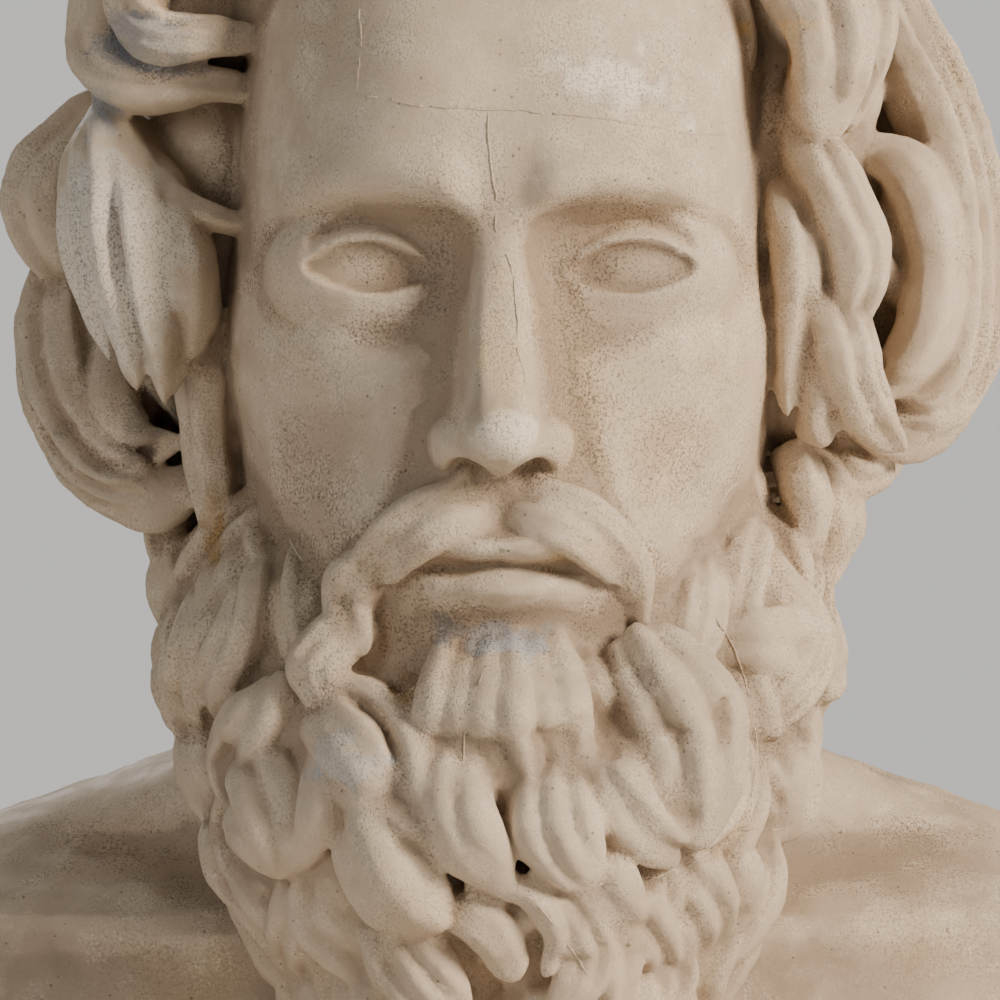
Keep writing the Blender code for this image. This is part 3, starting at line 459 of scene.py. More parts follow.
def beard_locks():
    """The moustache, the named locks of the beard and the strands beneath them."""
    made = []
    for s in (-1, 1):
        made += [
            lock(
                [(s * 0.6, -22.4), (s * 8.5, -25.2), (s * 13.4, -30.5), (s * 14.6, -37)],
                2.9, 0.9, 4, 0, 0.5,
            ),
            lock([(s * 0.8, -24.8), (s * 7, -26.8), (s * 11.8, -31.8)], 2.2, 1.5, 2),
            lock([(s * 26, -20), (s * 25.6, -32), (s * 22.5, -44)], 3.8, -1.4),
            lock([(s * 20.5, -27), (s * 20.6, -35), (s * 18, -43)], 3.4, -0.9),
        ]
    left = [
        lock([(-34, -27), (-35.4, -32), (-34.4, -37)], 3.0, -0.4, 2, 0.5),
        lock([(-30.5, -28), (-32.8, -33), (-32.2, -38)], 2.6, 1.4, 2),
        lock([(-32.4, -36), (-34, -41.5), (-32.4, -47.5)], 3.6, 1.2, 2, 0.7, 0.8),
        lock([(-26.5, -27), (-28.6, -33), (-26.2, -39.5)], 4.2, 0.6, 2),
        lock([(-26.6, -35), (-26.0, -41), (-27.4, -48)], 1.7, 0.8, 1),
        lock([(-28.6, -36), (-29.8, -42), (-27.6, -49.5)], 2.7, 1.2, 2),
        lock([(-31.6, -44), (-31.2, -52), (-27.8, -58.5)], 3.4, 0.2, 2),
        lock([(-21.6, -42), (-24.8, -51), (-22.2, -62)], 6.4, 5.8, 3, 0.0, 0.5),
        lock([(-18, -47), (-18, -54), (-20.8, -61)], 2.8, 3.8, 1),
        lock([(-27.4, -54), (-27.2, -61), (-20.2, -66.5)], 4.6, 1.8),
        lock([(-24.5, -60), (-22.5, -68), (-16.6, -75)], 5.6, 1.0),
        lock([(-16, -54), (-18.4, -58), (-15.6, -62), (-14.6, -69)], 2.0, 0.8, 2),
        lock([(-12.6, -28.5), (-15.4, -33), (-13.8, -39)], 3.0, 2.4, 2),
        lock([(-13.4, -35), (-18.6, -39.6), (-16.4, -46)], 3.3, 3.0, 3, 0.2),
        lock(
            [(-17, -41.5), (-11.6, -44), (-8.8, -48), (-8.2, -52), (-5, -57), (0.4, -61.8)],
            2.1, 4.2, 1,
        ),
        lock([(-20.4, -44), (-16, -48.4), (-10.2, -53.8)], 4.6, 3.6, 1),
        lock([(-20.6, -48), (-15, -53), (-9, -56), (-3, -60), (1.2, -63.5)], 2.1, 4.2, 1),
        lock([(-3.8, -47), (-4.2, -54), (1.2, -62.8)], 4.0, 4.2, 2),
        lock([(-13.4, -52.5), (-11.6, -59), (-5.8, -66)], 4.9, 3.4, 1, 0.4),
        lock([(-14.4, -53.5), (-15.4, -59.5), (-12, -65), (-5, -67.5)], 1.7, 3.4, 1),
        lock([(-12.5, -64), (-8.8, -70), (-3.5, -77)], 4.8, 1.8),
        lock([(-6.5, -63.5), (-0.8, -66.5), (1.6, -71.5)], 2.7, 2.8, 2, 0.4),
    ]
    chin = [
        lock([(-7.6, -41), (-8.4, -48.5), (-5, -54.5)], 2.8, 1.8, 2),
        lock([(-3.6, -36), (-5.2, -46), (-2.4, -53.5)], 3.6, 1.9, 2),
        lock([(0.4, -36), (0.2, -46), (3.2, -54.6)], 3.9, 2.5, 2),
        lock([(4.4, -36), (6.2, -46), (8.8, -54)], 3.8, 2.5, 2),
        lock([(7.8, -38), (9.8, -45), (12, -51.5)], 2.6, 1.6, 2),
    ]
    right = [
        lock([(13.6, -37), (18.8, -46), (20.4, -58.6)], 6.8, 6.4, 3, 0.0, 0.5),
        lock([(11.2, -49.5), (14.8, -53.8), (18.8, -57.8)], 1.6, 6.4, 1),
        lock([(10.6, -47), (12.6, -54), (17.8, -60)], 4.0, 3.6, 2),
        lock([(5, -49.5), (5.8, -56), (9.6, -62.4)], 5.0, 3.6, 3),
        lock([(9, -58), (10.6, -62), (14.2, -66.6)], 3.6, 2.6, 2),
        lock([(-3.5, -61.2), (3, -62.6), (5.6, -66.6), (4.6, -71)], 1.8, 3.6, 1),
        lock([(1.6, -60), (7, -64.4), (8.6, -69), (5, -76)], 3.6, 2.2),
        lock([(14.4, -57), (16.6, -62), (15, -69)], 2.5, 1.4, 2),
        lock([(17.6, -57), (19.8, -63), (18, -70)], 2.5, 1.2, 2),
        lock([(16.6, -55), (20, -60), (22.4, -64)], 1.8, 3.0, 1),
        lock([(22, -57), (23.4, -67), (19.6, -78)], 5.0, 0.4, 2),
        lock([(24.2, -39), (26.8, -50), (25, -61.5)], 3.6, 1.6, 2),
        lock([(23.6, -38.2), (30.8, -38.6), (35.8, -44)], 4.2, 2.8, 2, 0.3),
        lock([(26, -42.5), (30.6, -45.2), (33.6, -49.5)], 3.0, 1.0, 1),
        lock([(28.4, -46), (31, -51.5), (29.2, -59)], 3.7, 0.8, 2, 0.6),
        lock([(26.6, -25.5), (29, -32), (33.8, -39)], 2.9, 1.2, 2),
        lock([(29.5, -24), (33, -30.5), (35, -37)], 2.7, 0.4, 2),
        lock([(25.6, -28), (27.6, -34), (27.4, -41)], 2.6, 0.4, 2),
        lock([(6, -62), (10.6, -68), (11, -77)], 3.8, 1.4),
    ]
    return sum(made + left + chin + right + strands_beneath(), [])


# Rows of the beard's under layer: top, first and last angle either side of the front, drop, step
UNDER_ROWS = [
    (-20, 84, 100, 20, 15), (-31, 68, 112, 20, 14), (-43, 8, 112, 20, 15), (-55, 0, 112, 19, 15),
    (-66, 9, 100, 17, 17), (-75, 0, 90, 14, 22),
]


def strands_beneath():
    rng = np.random.default_rng(RANDOM_SEED)
    made = []
    for top, first, last, drop, step in UNDER_ROWS:
        for angle in np.arange(first, last, step):
            for side in (-1, 1):
                turned = side * (angle + rng.uniform(-2, 2)), top + rng.uniform(-2, 2)
                bend = rng.choice([-1, 1]) * rng.uniform(5, 9)
                size = drop * rng.uniform(0.9, 1.1), rng.uniform(4.6, 5.6)
                lift = rng.uniform(0, 1)
                made.append(hanging_lock(BEARD_MASSES, BEARD_AXIS, *turned, *size, bend, lift))
    return made


# Rows of the crown and back: top, first angle, drop, step between locks
BACK_ROWS = [
    (52, 0, 15, 30), (46, 42, 22, 19), (34, 62, 26, 16), (21, 74, 26, 15), (8, 82, 26, 14),
    (-6, 84, 22, 14), (-19, 104, 20, 14),
]
FRINGE_X = (-25, -17, -8.5, 0, 8.5, 17, 25)


def crown_and_back_locks():
    """Rows of plain wavy locks over the crown, behind the ears and down the nape."""
    rng = np.random.default_rng(RANDOM_SEED)
    made = []
    for row, (top, first, drop, step) in enumerate(BACK_ROWS):
        for angle in np.arange(first + (row % 2) * step / 2, 360 - first + 1, step):
            side = 1 if math.sin(math.radians(3 * angle) + 1.9 * row) > 0 else -1
            bend = side * rng.uniform(4.5, 8.0)
            place = angle + rng.uniform(-2.5, 2.5), top + rng.uniform(-2.5, 2.5)
            size = drop * rng.uniform(0.85, 1.15), rng.uniform(4.4, 5.8)
            made += hanging_lock(HAIR_MASSES, HEAD_AXIS, *place, *size, bend, rng.uniform(0, 1.6))
    for x in FRINGE_X:
        tip = (1.08 * x - 3, 37 - abs(x) * 0.24)
        middle = (1.02 * x + 2, 44 - abs(x) * 0.12)
        made += lock([(x * 0.75, 50), middle, tip], 4.2, 1.8)
    return made


# Neck, shoulders and chest: height, half-width, half-depth and the centre's y

BODY_SECTIONS = [
    (-22, 24, 22, 10), (-38, 25, 24, 12), (-47, 29, 25, 14), (-51, 37, 25, 16), (-57, 54, 25, 18),
    (-64, 72, 27, 18), (-74, 90, 31, 17), (-90, 100, 36, 15), (-112, 102, 40, 14),
]
BODY_SIDES = 96
BODY_RINGS = 70


def chest_relief(x, z):
    """Collarbones, breast muscles and the hollow between them, on the front of the chest."""
    side = np.abs(x)
    bone = -71 + 0.10 * side
    hollow = np.exp(-(((z - bone - 7) / 4.5) ** 2))
    return (
        3.0 * np.exp(-(((z - bone) / 3.0) ** 2)) * rise(side, 5, 14) * (1 - rise(side, 60, 80))
        - 2.6 * hollow * rise(side, 20, 30) * (1 - rise(side, 42, 60))
        + 6.5 * bump(side, z, 36, -112, 26, 22)
        - 2.4 * bump(side, z, 0, -112, 6, 34)
        - 2.2 * bump(side, z, 0, -72, 4.5, 4)
    )


def body_rings():
    """Rings of the neck, shoulders and chest, cut square at the arms and run below the foot."""
    underside = -EYE_LEVEL / UNIT
    half_depth = CHEST_DEPTH / 2 / UNIT
    foot = [(level, 98, half_depth, 12) for level in (underside, underside - 8)]
    sections = sorted(BODY_SECTIONS + foot)
    levels = np.linspace(underside - 6, BODY_SECTIONS[0][0], BODY_RINGS)
    half_width, depth, centre = (
        smooth_line([(s[0], s[column]) for s in sections], levels)[:, None] for column in (1, 2, 3)
    )
    turn = np.linspace(0, 2 * math.pi, BODY_SIDES, endpoint=False)[None, :]
    flatness = 2 / (2 + 0.7 * rise(-levels, 48, 70))[:, None]
    x = half_width * np.sign(np.sin(turn)) * np.abs(np.sin(turn)) ** flatness
    y = -depth * np.sign(np.cos(turn)) * np.abs(np.cos(turn)) ** flatness
    z = np.repeat(levels[:, None], BODY_SIDES, axis=1)
    y = y + centre - chest_relief(x, z) * rise(-y / depth, 0.1, 0.7)
    arm_cut = SHOULDER_WIDTH / 2 / UNIT
    x = np.clip(x, -arm_cut, arm_cut)
    return np.stack([x, y, z], -1)


# Making meshes


def new_object(name, mesh, collection):
    obj = bpy.data.objects.new(name, mesh)
    collection.objects.link(obj)
    return obj


def turn_outwards(bm, faces):
    """Turns a closed skin round if it faces inwards, which its volume tells by its sign."""
    middle = faces[0].verts[0].co.copy()
    volume = 0.0
    for face in faces:
        face.normal_update()
        volume += (face.calc_center_median() - middle).dot(face.normal) * face.calc_area()
    if volume < 0:
        bmesh.ops.reverse_faces(bm, faces=faces)


def add_rings(bm, rings):
    """Joins rings of points into one closed skin with a pole at each end. Rings that run the
    wrong way round their path are reversed, so that the skin always faces outwards."""
    rings = to_world(rings)
    facing = np.cross(rings, np.roll(rings, -1, axis=1)).sum(1)
    if (facing * np.gradient(rings.mean(1), axis=0)).sum() < 0:
        rings = rings[:, ::-1]
    grid = [[bm.verts.new(p) for p in ring] for ring in rings]
    sides = len(grid[0])
    for lower, upper in zip(grid, grid[1:]):
        for i in range(sides):
            bm.faces.new((lower[i], lower[(i + 1) % sides], upper[(i + 1) % sides], upper[i]))
    bm.faces.new(reversed(grid[0]))
    bm.faces.new(grid[-1])


def add_mass(bm, centre, radii):
    made = bmesh.ops.create_uvsphere(bm, u_segments=48, v_segments=32, radius=1.0)
    for vert in made["verts"]:
        vert.co = to_world(np.array(centre) + np.array(vert.co) * radii)


FACE_GRID = 180, 290  # columns and rows of the face


def add_face(bm, columns, rows):
    """The face as a thick sheet: a grid pushed forward by face_depth, with its rim drawn back."""
    low, high = FACE_PROFILE[0][0] + 4, FACE_PROFILE[-1][0] - 4
    made = bmesh.ops.create_grid(bm, x_segments=columns, y_segments=rows, size=1.0)["verts"]
    flat = np.array([v.co for v in made])
    z = low + (flat[:, 1] + 1) / 2 * (high - low)
    x = flat[:, 0] * smooth_line(FACE_HALF_WIDTH, z)
    for vert, point in zip(made, to_world(np.stack([x, -face_depth(x, z), z], -1))):
        vert.co = point
    rim = [e for v in made for e in v.link_edges if e.is_boundary]
    drawn = bmesh.ops.extrude_edge_only(bm, edges=list(set(rim)))["geom"]
    back = to_world([0, 8, 0])[1]
    for vert in (g for g in drawn if isinstance(g, bmesh.types.BMVert)):
        vert.co.y = back
    edges = [g for g in drawn if isinstance(g, bmesh.types.BMEdge)]
    bmesh.ops.holes_fill(bm, edges=[e for e in edges if e.is_boundary])
    skin = list({f for e in edges for f in e.link_faces} | {f for v in made for f in v.link_faces})
    bmesh.ops.recalc_face_normals(bm, faces=skin)
    turn_outwards(bm, skin)


def clay():
    """All the masses, the face, the chest and the locks in one mesh, still overlapping."""
    bm = bmesh.new()
    for centre, radii in MASSES.values():
        add_mass(bm, centre, radii)
    add_face(bm, *FACE_GRID)
    add_rings(bm, body_rings())
    for rings in sum(hair_locks(), []) + beard_locks() + crown_and_back_locks():
        add_rings(bm, rings)
    mesh = bpy.data.meshes.new("clay")
    bm.to_mesh(mesh)
    bm.free()
    return mesh


def cut_flat(mesh):
    """Cuts the mesh off at z = 0 and closes it, so that the bust stands on a flat underside."""
    bm = bmesh.new()
    bm.from_mesh(mesh)
    geometry = list(bm.verts) + list(bm.edges) + list(bm.faces)
    cut = bmesh.ops.bisect_plane(
        bm, geom=geometry, plane_co=(0, 0, 0), plane_no=(0, 0, 1), clear_inner=True, dist=1e-6
    )["geom_cut"]
    bmesh.ops.contextual_create(bm, geom=[g for g in cut if isinstance(g, bmesh.types.BMEdge)])
    bmesh.ops.triangulate(bm, faces=bm.faces)
    bm.to_mesh(mesh)
    bm.free()


def fill_pockets(mesh):
    """Keeps the outer skin only, so that no closed pocket is left between the fused masses."""
    bm = bmesh.new()
    bm.from_mesh(mesh)
    waiting, skins = set(bm.verts), []
    while waiting:
        skin, front = set(), [waiting.pop()]
        while front:
            vert = front.pop()
            skin.add(vert)
            near = {edge.other_vert(vert) for edge in vert.link_edges} & waiting
            waiting -= near
            front.extend(near)
        skins.append(skin)
    outer = max(skins, key=len)
    pockets = [vert for skin in skins if skin is not outer for vert in skin]
    bmesh.ops.delete(bm, geom=pockets, context="VERTS")
    bm.to_mesh(mesh)
    bm.free()


# The fine bust


def apply_modifiers(obj):
    graph = bpy.context.evaluated_depsgraph_get()
    obj.data = bpy.data.meshes.new_from_object(obj.evaluated_get(graph))
    obj.modifiers.clear()


def points_of(mesh):
    flat = np.empty(len(mesh.vertices) * 3)
    mesh.vertices.foreach_get("co", flat)
    return flat.reshape(-1, 3)


def set_points(mesh, points):
    mesh.vertices.foreach_set("co", points.ravel())
    mesh.update()


def normals_of(mesh):
    flat = np.empty(len(mesh.vertices) * 3)
    mesh.vertex_normals.foreach_get("vector", flat)
    return flat.reshape(-1, 3)


# Size and height of the unevenness left by hand, on the smooth parts and on the hair and beard
SKIN_WAVES = [(0.030, 0.00035), (0.009, 0.00014)]
HAIR_WAVES = [(0.017, 0.0011), (0.007, 0.0005), (0.0033, 0.00016)]
NOSTRILS = [((side * 3.3, -37.2, -20.6), (1.5, 3.0, 1.3)) for side in (-1, 1)]
NOSTRIL_DEPTH = 2.2


def work_surface(mesh):
    """Unevenness from handwork over the whole skin, and the two nostrils."""
    points, normals = points_of(mesh), normals_of(mesh)
    x, y, z = ((points - to_world([0, 0, 0])) / UNIT).T
    bare = rise(-z, 60, 66) * (y > -6) + (np.abs(x) < 27) * (y < -12) * (z > -27) * (z < 32)
    lift = np.zeros(len(points))
    for waves, share in ((SKIN_WAVES, np.clip(bare, 0, 1)), (HAIR_WAVES, 1 - np.clip(bare, 0, 1))):
        for size, height in waves:
            lift += height * share * np.array([noise.noise(Vector(p) / size) for p in points])
    points = points + normals * lift[:, None]
    for centre, radii in NOSTRILS:
        away = ((points - to_world(centre)) / UNIT / np.array(radii)) ** 2
        points[:, 2] += NOSTRIL_DEPTH * UNIT * np.exp(-away.sum(1))
    set_points(mesh, points)


def fit_to_box(mesh, box):
    """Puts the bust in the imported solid's box: same underside and middle, nothing outside it."""
    points = points_of(mesh)
    low, high = np.array(box[0]), np.array(box[1])
    middle = (points.min(0) + points.max(0)) / 2
    points[:, :2] += ((low + high) / 2 - middle)[:2]
    set_points(mesh, np.clip(points, low, high))


def make_bust():
    bust = new_object("bust_surface", clay(), bpy.context.scene.collection)
    fuse = bust.modifiers.new("fuse", "REMESH")
    fuse.mode = "VOXEL"
    fuse.voxel_size = CLAY_GRAIN
    soften = bust.modifiers.new("soften", "SMOOTH")
    soften.factor, soften.iterations = 0.5, 2
    apply_modifiers(bust)
    fill_pockets(bust.data)
    work_surface(bust.data)
    thin = bust.modifiers.new("thin", "DECIMATE")
    bust.data.calc_loop_triangles()
    thin.ratio = TRIANGLES / len(bust.data.loop_triangles)
    apply_modifiers(bust)
    cut_flat(bust.data)
    fit_to_box(bust.data, CAD_BOX)
    return bust


# What the surface remembers: how hidden each point is, and how proud of its neighbours

RAY_COUNT = 14
RAY_REACH = 0.020
RAY_START = 0.0004
HIDDEN_ROUNDS = 6
SKIN_ROUNDS = 16


def hemisphere(count):
    """Directions spread evenly over the half sphere about +Z."""
    i = np.arange(count) + 0.5
    up = 1 - i / count * 0.94
    turn = i * math.pi * (1 + math.sqrt(5))
    level = np.sqrt(1 - up**2)
    return np.stack([level * np.cos(turn), level * np.sin(turn), up], -1)


def skin_tree(mesh):
    return BVHTree.FromPolygons([v.co for v in mesh.vertices], [p.vertices for p in mesh.polygons])


def hidden_share(mesh):
    """Share of the sky over each vertex that the bust itself covers nearby, from 0 to 1."""
    tree = skin_tree(mesh)
    rays = [Vector(d) for d in hemisphere(RAY_COUNT)]
    spins = np.random.default_rng(RANDOM_SEED).uniform(0, 2 * math.pi, len(mesh.vertices))
    share = np.zeros(len(mesh.vertices))
    for i, vert in enumerate(mesh.vertices):
        turn = vert.normal.to_track_quat("Z", "Y") @ Quaternion((0, 0, 1), spins[i])
        start = vert.co + vert.normal * RAY_START
        met = 0.0
        for ray in rays:
            distance = tree.ray_cast(start, turn @ ray, RAY_REACH)[3]
            if distance is not None:
                met += 1 - distance / RAY_REACH
        share[i] = met / RAY_COUNT
    return share


def spread(mesh, values, rounds):
    """Evens values out over the vertices, by taking the mean with the neighbours' each round."""
    edges = np.empty(len(mesh.edges) * 2, int)
    mesh.edges.foreach_get("vertices", edges)
    one, two = edges.reshape(-1, 2).T
    count = np.bincount(edges, minlength=len(values)) + 1.0
    for _ in range(rounds):
        total = values + np.bincount(one, values[two], len(values))
        values = (total + np.bincount(two, values[one], len(values))) / count
    return values


def proud_height(mesh):
    """How far each vertex stands out of the smoothed skin, in millimetres."""
    points, normals = points_of(mesh), normals_of(mesh)
    smooth = np.stack([spread(mesh, points[:, axis], SKIN_ROUNDS) for axis in range(3)], -1)
    return ((points - smooth) * normals).sum(1) * 1000


def write_layer(mesh, name, values):
    layer = mesh.attributes.new(name, "FLOAT", "POINT")
    layer.data.foreach_set("value", np.asarray(values, np.float32))


def remember(mesh):
    """Keeps for the shader what is hidden and what stands proud."""
    write_layer(mesh, "hidden", spread(mesh, hidden_share(mesh), HIDDEN_ROUNDS))
    write_layer(mesh, "proud", spread(mesh, proud_height(mesh), 1))


# Stains, painted shade beside the beard, and repairs


def linear(text):
    """An sRGB hex colour as linear RGBA."""
    parts = [int(text[i : i + 2], 16) / 255 for i in (1, 3, 5)]
    bright = [c / 12.92 if c <= 0.04045 else ((c + 0.055) / 1.055) ** 2.4 for c in parts]
    return (*bright, 1.0)


# Each is an egg-shaped patch: centre and half-size in carving units, colour, strength, and how
# broken its edge is. Stains are blue-grey paint, ochre runs and brown dirt, and two greyish patches
# are painted shade on the shoulders beside the beard; repairs are chalky.

STAINS_AND_PAINTED_SHADE = [
    ((-36, -15, 24.5), (7.5, 9, 3.4), "#7E8084", 0.75, 0.9),
    ((-42, -10, 17.5), (3.6, 8, 3.4), "#8A8B8C", 0.65, 0.9),
    ((-29.8, -12, -26.5), (1.5, 7, 6.0), "#9E7D4C", 0.65, 0.8),
    ((-37.5, -5, -16.0), (2.6, 8, 5.0), "#4B382A", 0.85, 0.6),
    ((27.0, -24, 25.5), (6.5, 9, 1.5), "#C7A56B", 0.60, 0.7),
    ((30.6, -17, 21.5), (1.1, 8, 4.2), "#A5824F", 0.50, 0.9),
    ((-4.6, -36, -36.6), (3.2, 6, 2.0), "#858484", 0.50, 1.4),
    ((1.4, -36, -36.9), (4.2, 6, 2.2), "#A6A7A8", 0.65, 1.3),
    ((-18.0, -40, -49.6), (5.4, 6, 3.5), "#A7A8A9", 0.85, 1.1),
    # Painted shade: a greyish darkening on each shoulder beside the beard, where its shadow falls
    ((-32.0, -10, -60.0), (5.5, 22, 9.0), "#80796B", 0.18, 1.2),
    ((27.5, -10, -58.0), (3.5, 22, 8.0), "#837B6C", 0.12, 1.2),
    ((14.2, -38, -41.0), (1.9, 5, 1.7), "#5C4632", 0.70, 0.8),
    ((-10.0, -36, -39.0), (2.2, 5, 6.0), "#967B56", 0.55, 1.1),
    ((0.2, -43, -8.0), (2.6, 8, 9.5), "#BFA679", 0.60, 0.9),
    ((-21.0, -26, -34.0), (4.0, 9, 9.0), "#A8987F", 0.45, 1.2),
    ((9.0, -34, -28.5), (7.0, 6, 2.0), "#B59C74", 0.40, 1.2),
]
REPAIRS = [
    ((12.5, -36, 19.2), (6.0, 6, 3.4), "#E6DDCA", 0.95, 1.3),
    ((-9.0, -38, 19.7), (1.8, 6, 0.5), "#DED6C8", 0.70, 1.0),
    ((20.4, -33, 14.8), (2.0, 6, 1.2), "#E8DFCD", 0.95, 1.0),
    ((24.2, -29, 12.8), (0.8, 6, 1.1), "#E8E2D8", 0.90, 0.8),
    ((0.6, -46, -17.0), (3.8, 6, 2.8), "#E5DBC8", 0.80, 1.0),
    ((-40.5, -17, 1.5), (8.5, 10, 12.5), "#DAD4C8", 0.90, 0.5),
]
EDGE_GRAIN = 0.008  # size of the lobes along a patch's edge, in metres
EDGE_FROM, EDGE_TO = 1.25, 0.45  # shares of a patch's half-size between which it fades in


def paint_patches(mesh):
    """Lays the patches over each other into one layer of colour and share for each vertex."""
    points = points_of(mesh)
    lobes = np.array([noise.fractal(Vector(p) / EDGE_GRAIN, 0.6, 2.1, 3) for p in points])
    tint, cover = np.zeros((len(points), 3)), np.zeros(len(points))
    for centre, half, colour, strength, ragged in STAINS_AND_PAINTED_SHADE + REPAIRS:
        far = np.linalg.norm((points - to_world(centre)) / UNIT / np.array(half), axis=1)
        share = strength * (1 - rise(far + lobes * ragged * 0.55, EDGE_TO, EDGE_FROM))
        tint = tint * (1 - share[:, None]) + np.array(linear(colour)[:3]) * share[:, None]
        cover = cover + share - cover * share
    layer = mesh.color_attributes.new("patches", "FLOAT_COLOR", "POINT")
    shown = tint / np.clip(cover, 1e-4, None)[:, None]
    layer.data.foreach_set("color", np.concatenate([shown, cover[:, None]], 1).ravel())


# Mould seams: the thin raised lines where the piece mould's parts met

VIEW_DISTANCE = 1.5
FACE_PLANE = -38  # the carving depth at which the picture is 100 units wide
VIEW_LEVEL = -23.2  # carving height of the middle of the picture
EYE_POINT = to_world([0, FACE_PLANE, VIEW_LEVEL]) - np.array([0, VIEW_DISTANCE, 0])

SEAMS = [
    [(-14.2, 30), (-13.9, 24), (-14.2, 17.3)],
    [(-14.5, 17.3), (-8, 16.2), (-1.2, 15.9), (6, 15.4), (13, 14.6), (19, 13.4), (24.5, 13.2)],
    [(-1.2, 15.9), (-1.1, 12), (-0.4, 7.4), (-0.2, 3), (1.0, 0.4), (1.6, -5.4), (2.0, -8.7),
     (2.8, -12.4)],
    [(-25.5, -15), (-23.6, -18.5), (-22, -23), (-20.4, -28.5), (-17.7, -31)],
    [(31, -18.6), (27, -20.5), (23.5, -21.6), (22, -24)],
    [(-1.5, -39.8), (-3.0, -44), (-3.8, -49.5)],
    [(21, -34), (24.5, -41), (25.6, -47), (25.2, -52), (23.6, -55.6), (18, -60), (9, -62)],
    [(22.5, -56.2), (28.8, -56.0)],
    [(2.2, -61.5), (5.5, -66), (9, -71)],
    [(49.5, -53.5), (52, -56), (54.5, -62)],
]
SEAM_STEP = 0.0010
SEAM_HALF_WIDTH, SEAM_HEIGHT = 0.00040, 0.00030
SEAM_ROOT = 0.0005  # how deep a seam's foot sits in the skin
SEAM_WANDER = [(0.35, 0.28), (1.7, 0.10)]  # how often and how far a seam leaves its line
SEAM_GAP = -0.36  # a seam is rubbed away where its unevenness falls below this
SEAM_SHADOW_AND_RUB = [-0.7, 0.3, 0.9, 0.9, 0.9]  # across a seam: painted shadow along one foot, a pale rubbed crest


def seam_spine(tree, knots):
    """Points of a seam on the bust, cast from the eye through knots seen in the face plane."""
    knots = np.array(knots, float)
    at = np.concatenate([[0], np.cumsum(np.linalg.norm(np.diff(knots, axis=0), axis=1))])
    steps = np.linspace(0, at[-1], max(8, int(at[-1] * UNIT / SEAM_STEP)))
    seen = np.stack([smooth_line(list(zip(at, knots[:, i])), steps) for i in (0, 1)], -1)
    for often, reach in SEAM_WANDER:
        for k in (0, 1):
            seen[:, k] += [noise.noise(Vector((s * often, k * 9.1, at[-1]))) * reach for s in steps]
    spine = []
    for x, z in seen:
        ray = to_world([x, FACE_PLANE, z]) - EYE_POINT
        place, normal = tree.ray_cast(Vector(EYE_POINT), Vector(ray))[:2]
        if place is not None:
            spine.append((place, normal))
    return spine


def add_seam(bm, spine, seed):
    """A low ridge along a spine, broken off wherever the surface drops away behind it."""
    rows = []
    for i, (place, normal) in enumerate(spine):
        before, after = spine[max(i - 1, 0)][0], spine[min(i + 1, len(spine) - 1)][0]
        uneven = noise.noise(Vector((i * 0.21, seed * 3.7, 0)))
        uneven += 0.5 * noise.noise(Vector((i * 0.6, seed, 5)))
        if (after - before).length > 6 * SEAM_STEP or uneven < SEAM_GAP:
            if len(rows) > 4:
                close_seam(bm, rows)
            rows = []
            continue
        across = (after - before).cross(normal).normalized()
        ends = min(1.0, 0.25 * min(i, len(spine) - 1 - i), 0.3 + 3 * (uneven - SEAM_GAP))
        wide, high = SEAM_HALF_WIDTH * (0.6 + 0.4 * ends), SEAM_HEIGHT * (0.9 + 0.6 * uneven) * ends
        base = place - normal * SEAM_ROOT
        rows.append([base - across * wide, place - across * wide * 0.5 + normal * high * 0.75,
                     place + normal * high, place + across * wide * 0.5 + normal * high * 0.75,
                     base + across * wide])
    if len(rows) > 4:
        close_seam(bm, rows)


def close_seam(bm, rows):
    grid = [[bm.verts.new(p) for p in row] for row in rows]
    count = len(grid[0])
    made = []
    for one, two in zip(grid, grid[1:]):
        for i in range(count):
            made.append(bm.faces.new((one[i], one[(i + 1) % count], two[(i + 1) % count], two[i])))
    made += [bm.faces.new(reversed(grid[0])), bm.faces.new(grid[-1])]
    bmesh.ops.recalc_face_normals(bm, faces=made)


def seams(tree):
    bm = bmesh.new()
    for i, knots in enumerate(SEAMS):
        add_seam(bm, seam_spine(tree, knots), i)
    mesh = bpy.data.meshes.new("mould_seams")
    bm.to_mesh(mesh)
    bm.free()
    write_layer(mesh, "proud", np.tile(SEAM_SHADOW_AND_RUB, len(mesh.vertices) // len(SEAM_SHADOW_AND_RUB)))
    return mesh


# Casting bubbles: low round pimples where air was caught against the mould

BUBBLES_PER_M2 = 110.0


def group_input(group, name, kind, value):
    socket = group.interface.new_socket(name, in_out="INPUT", socket_type=kind)
    if value is not None:
        socket.default_value = value
    return socket.identifier


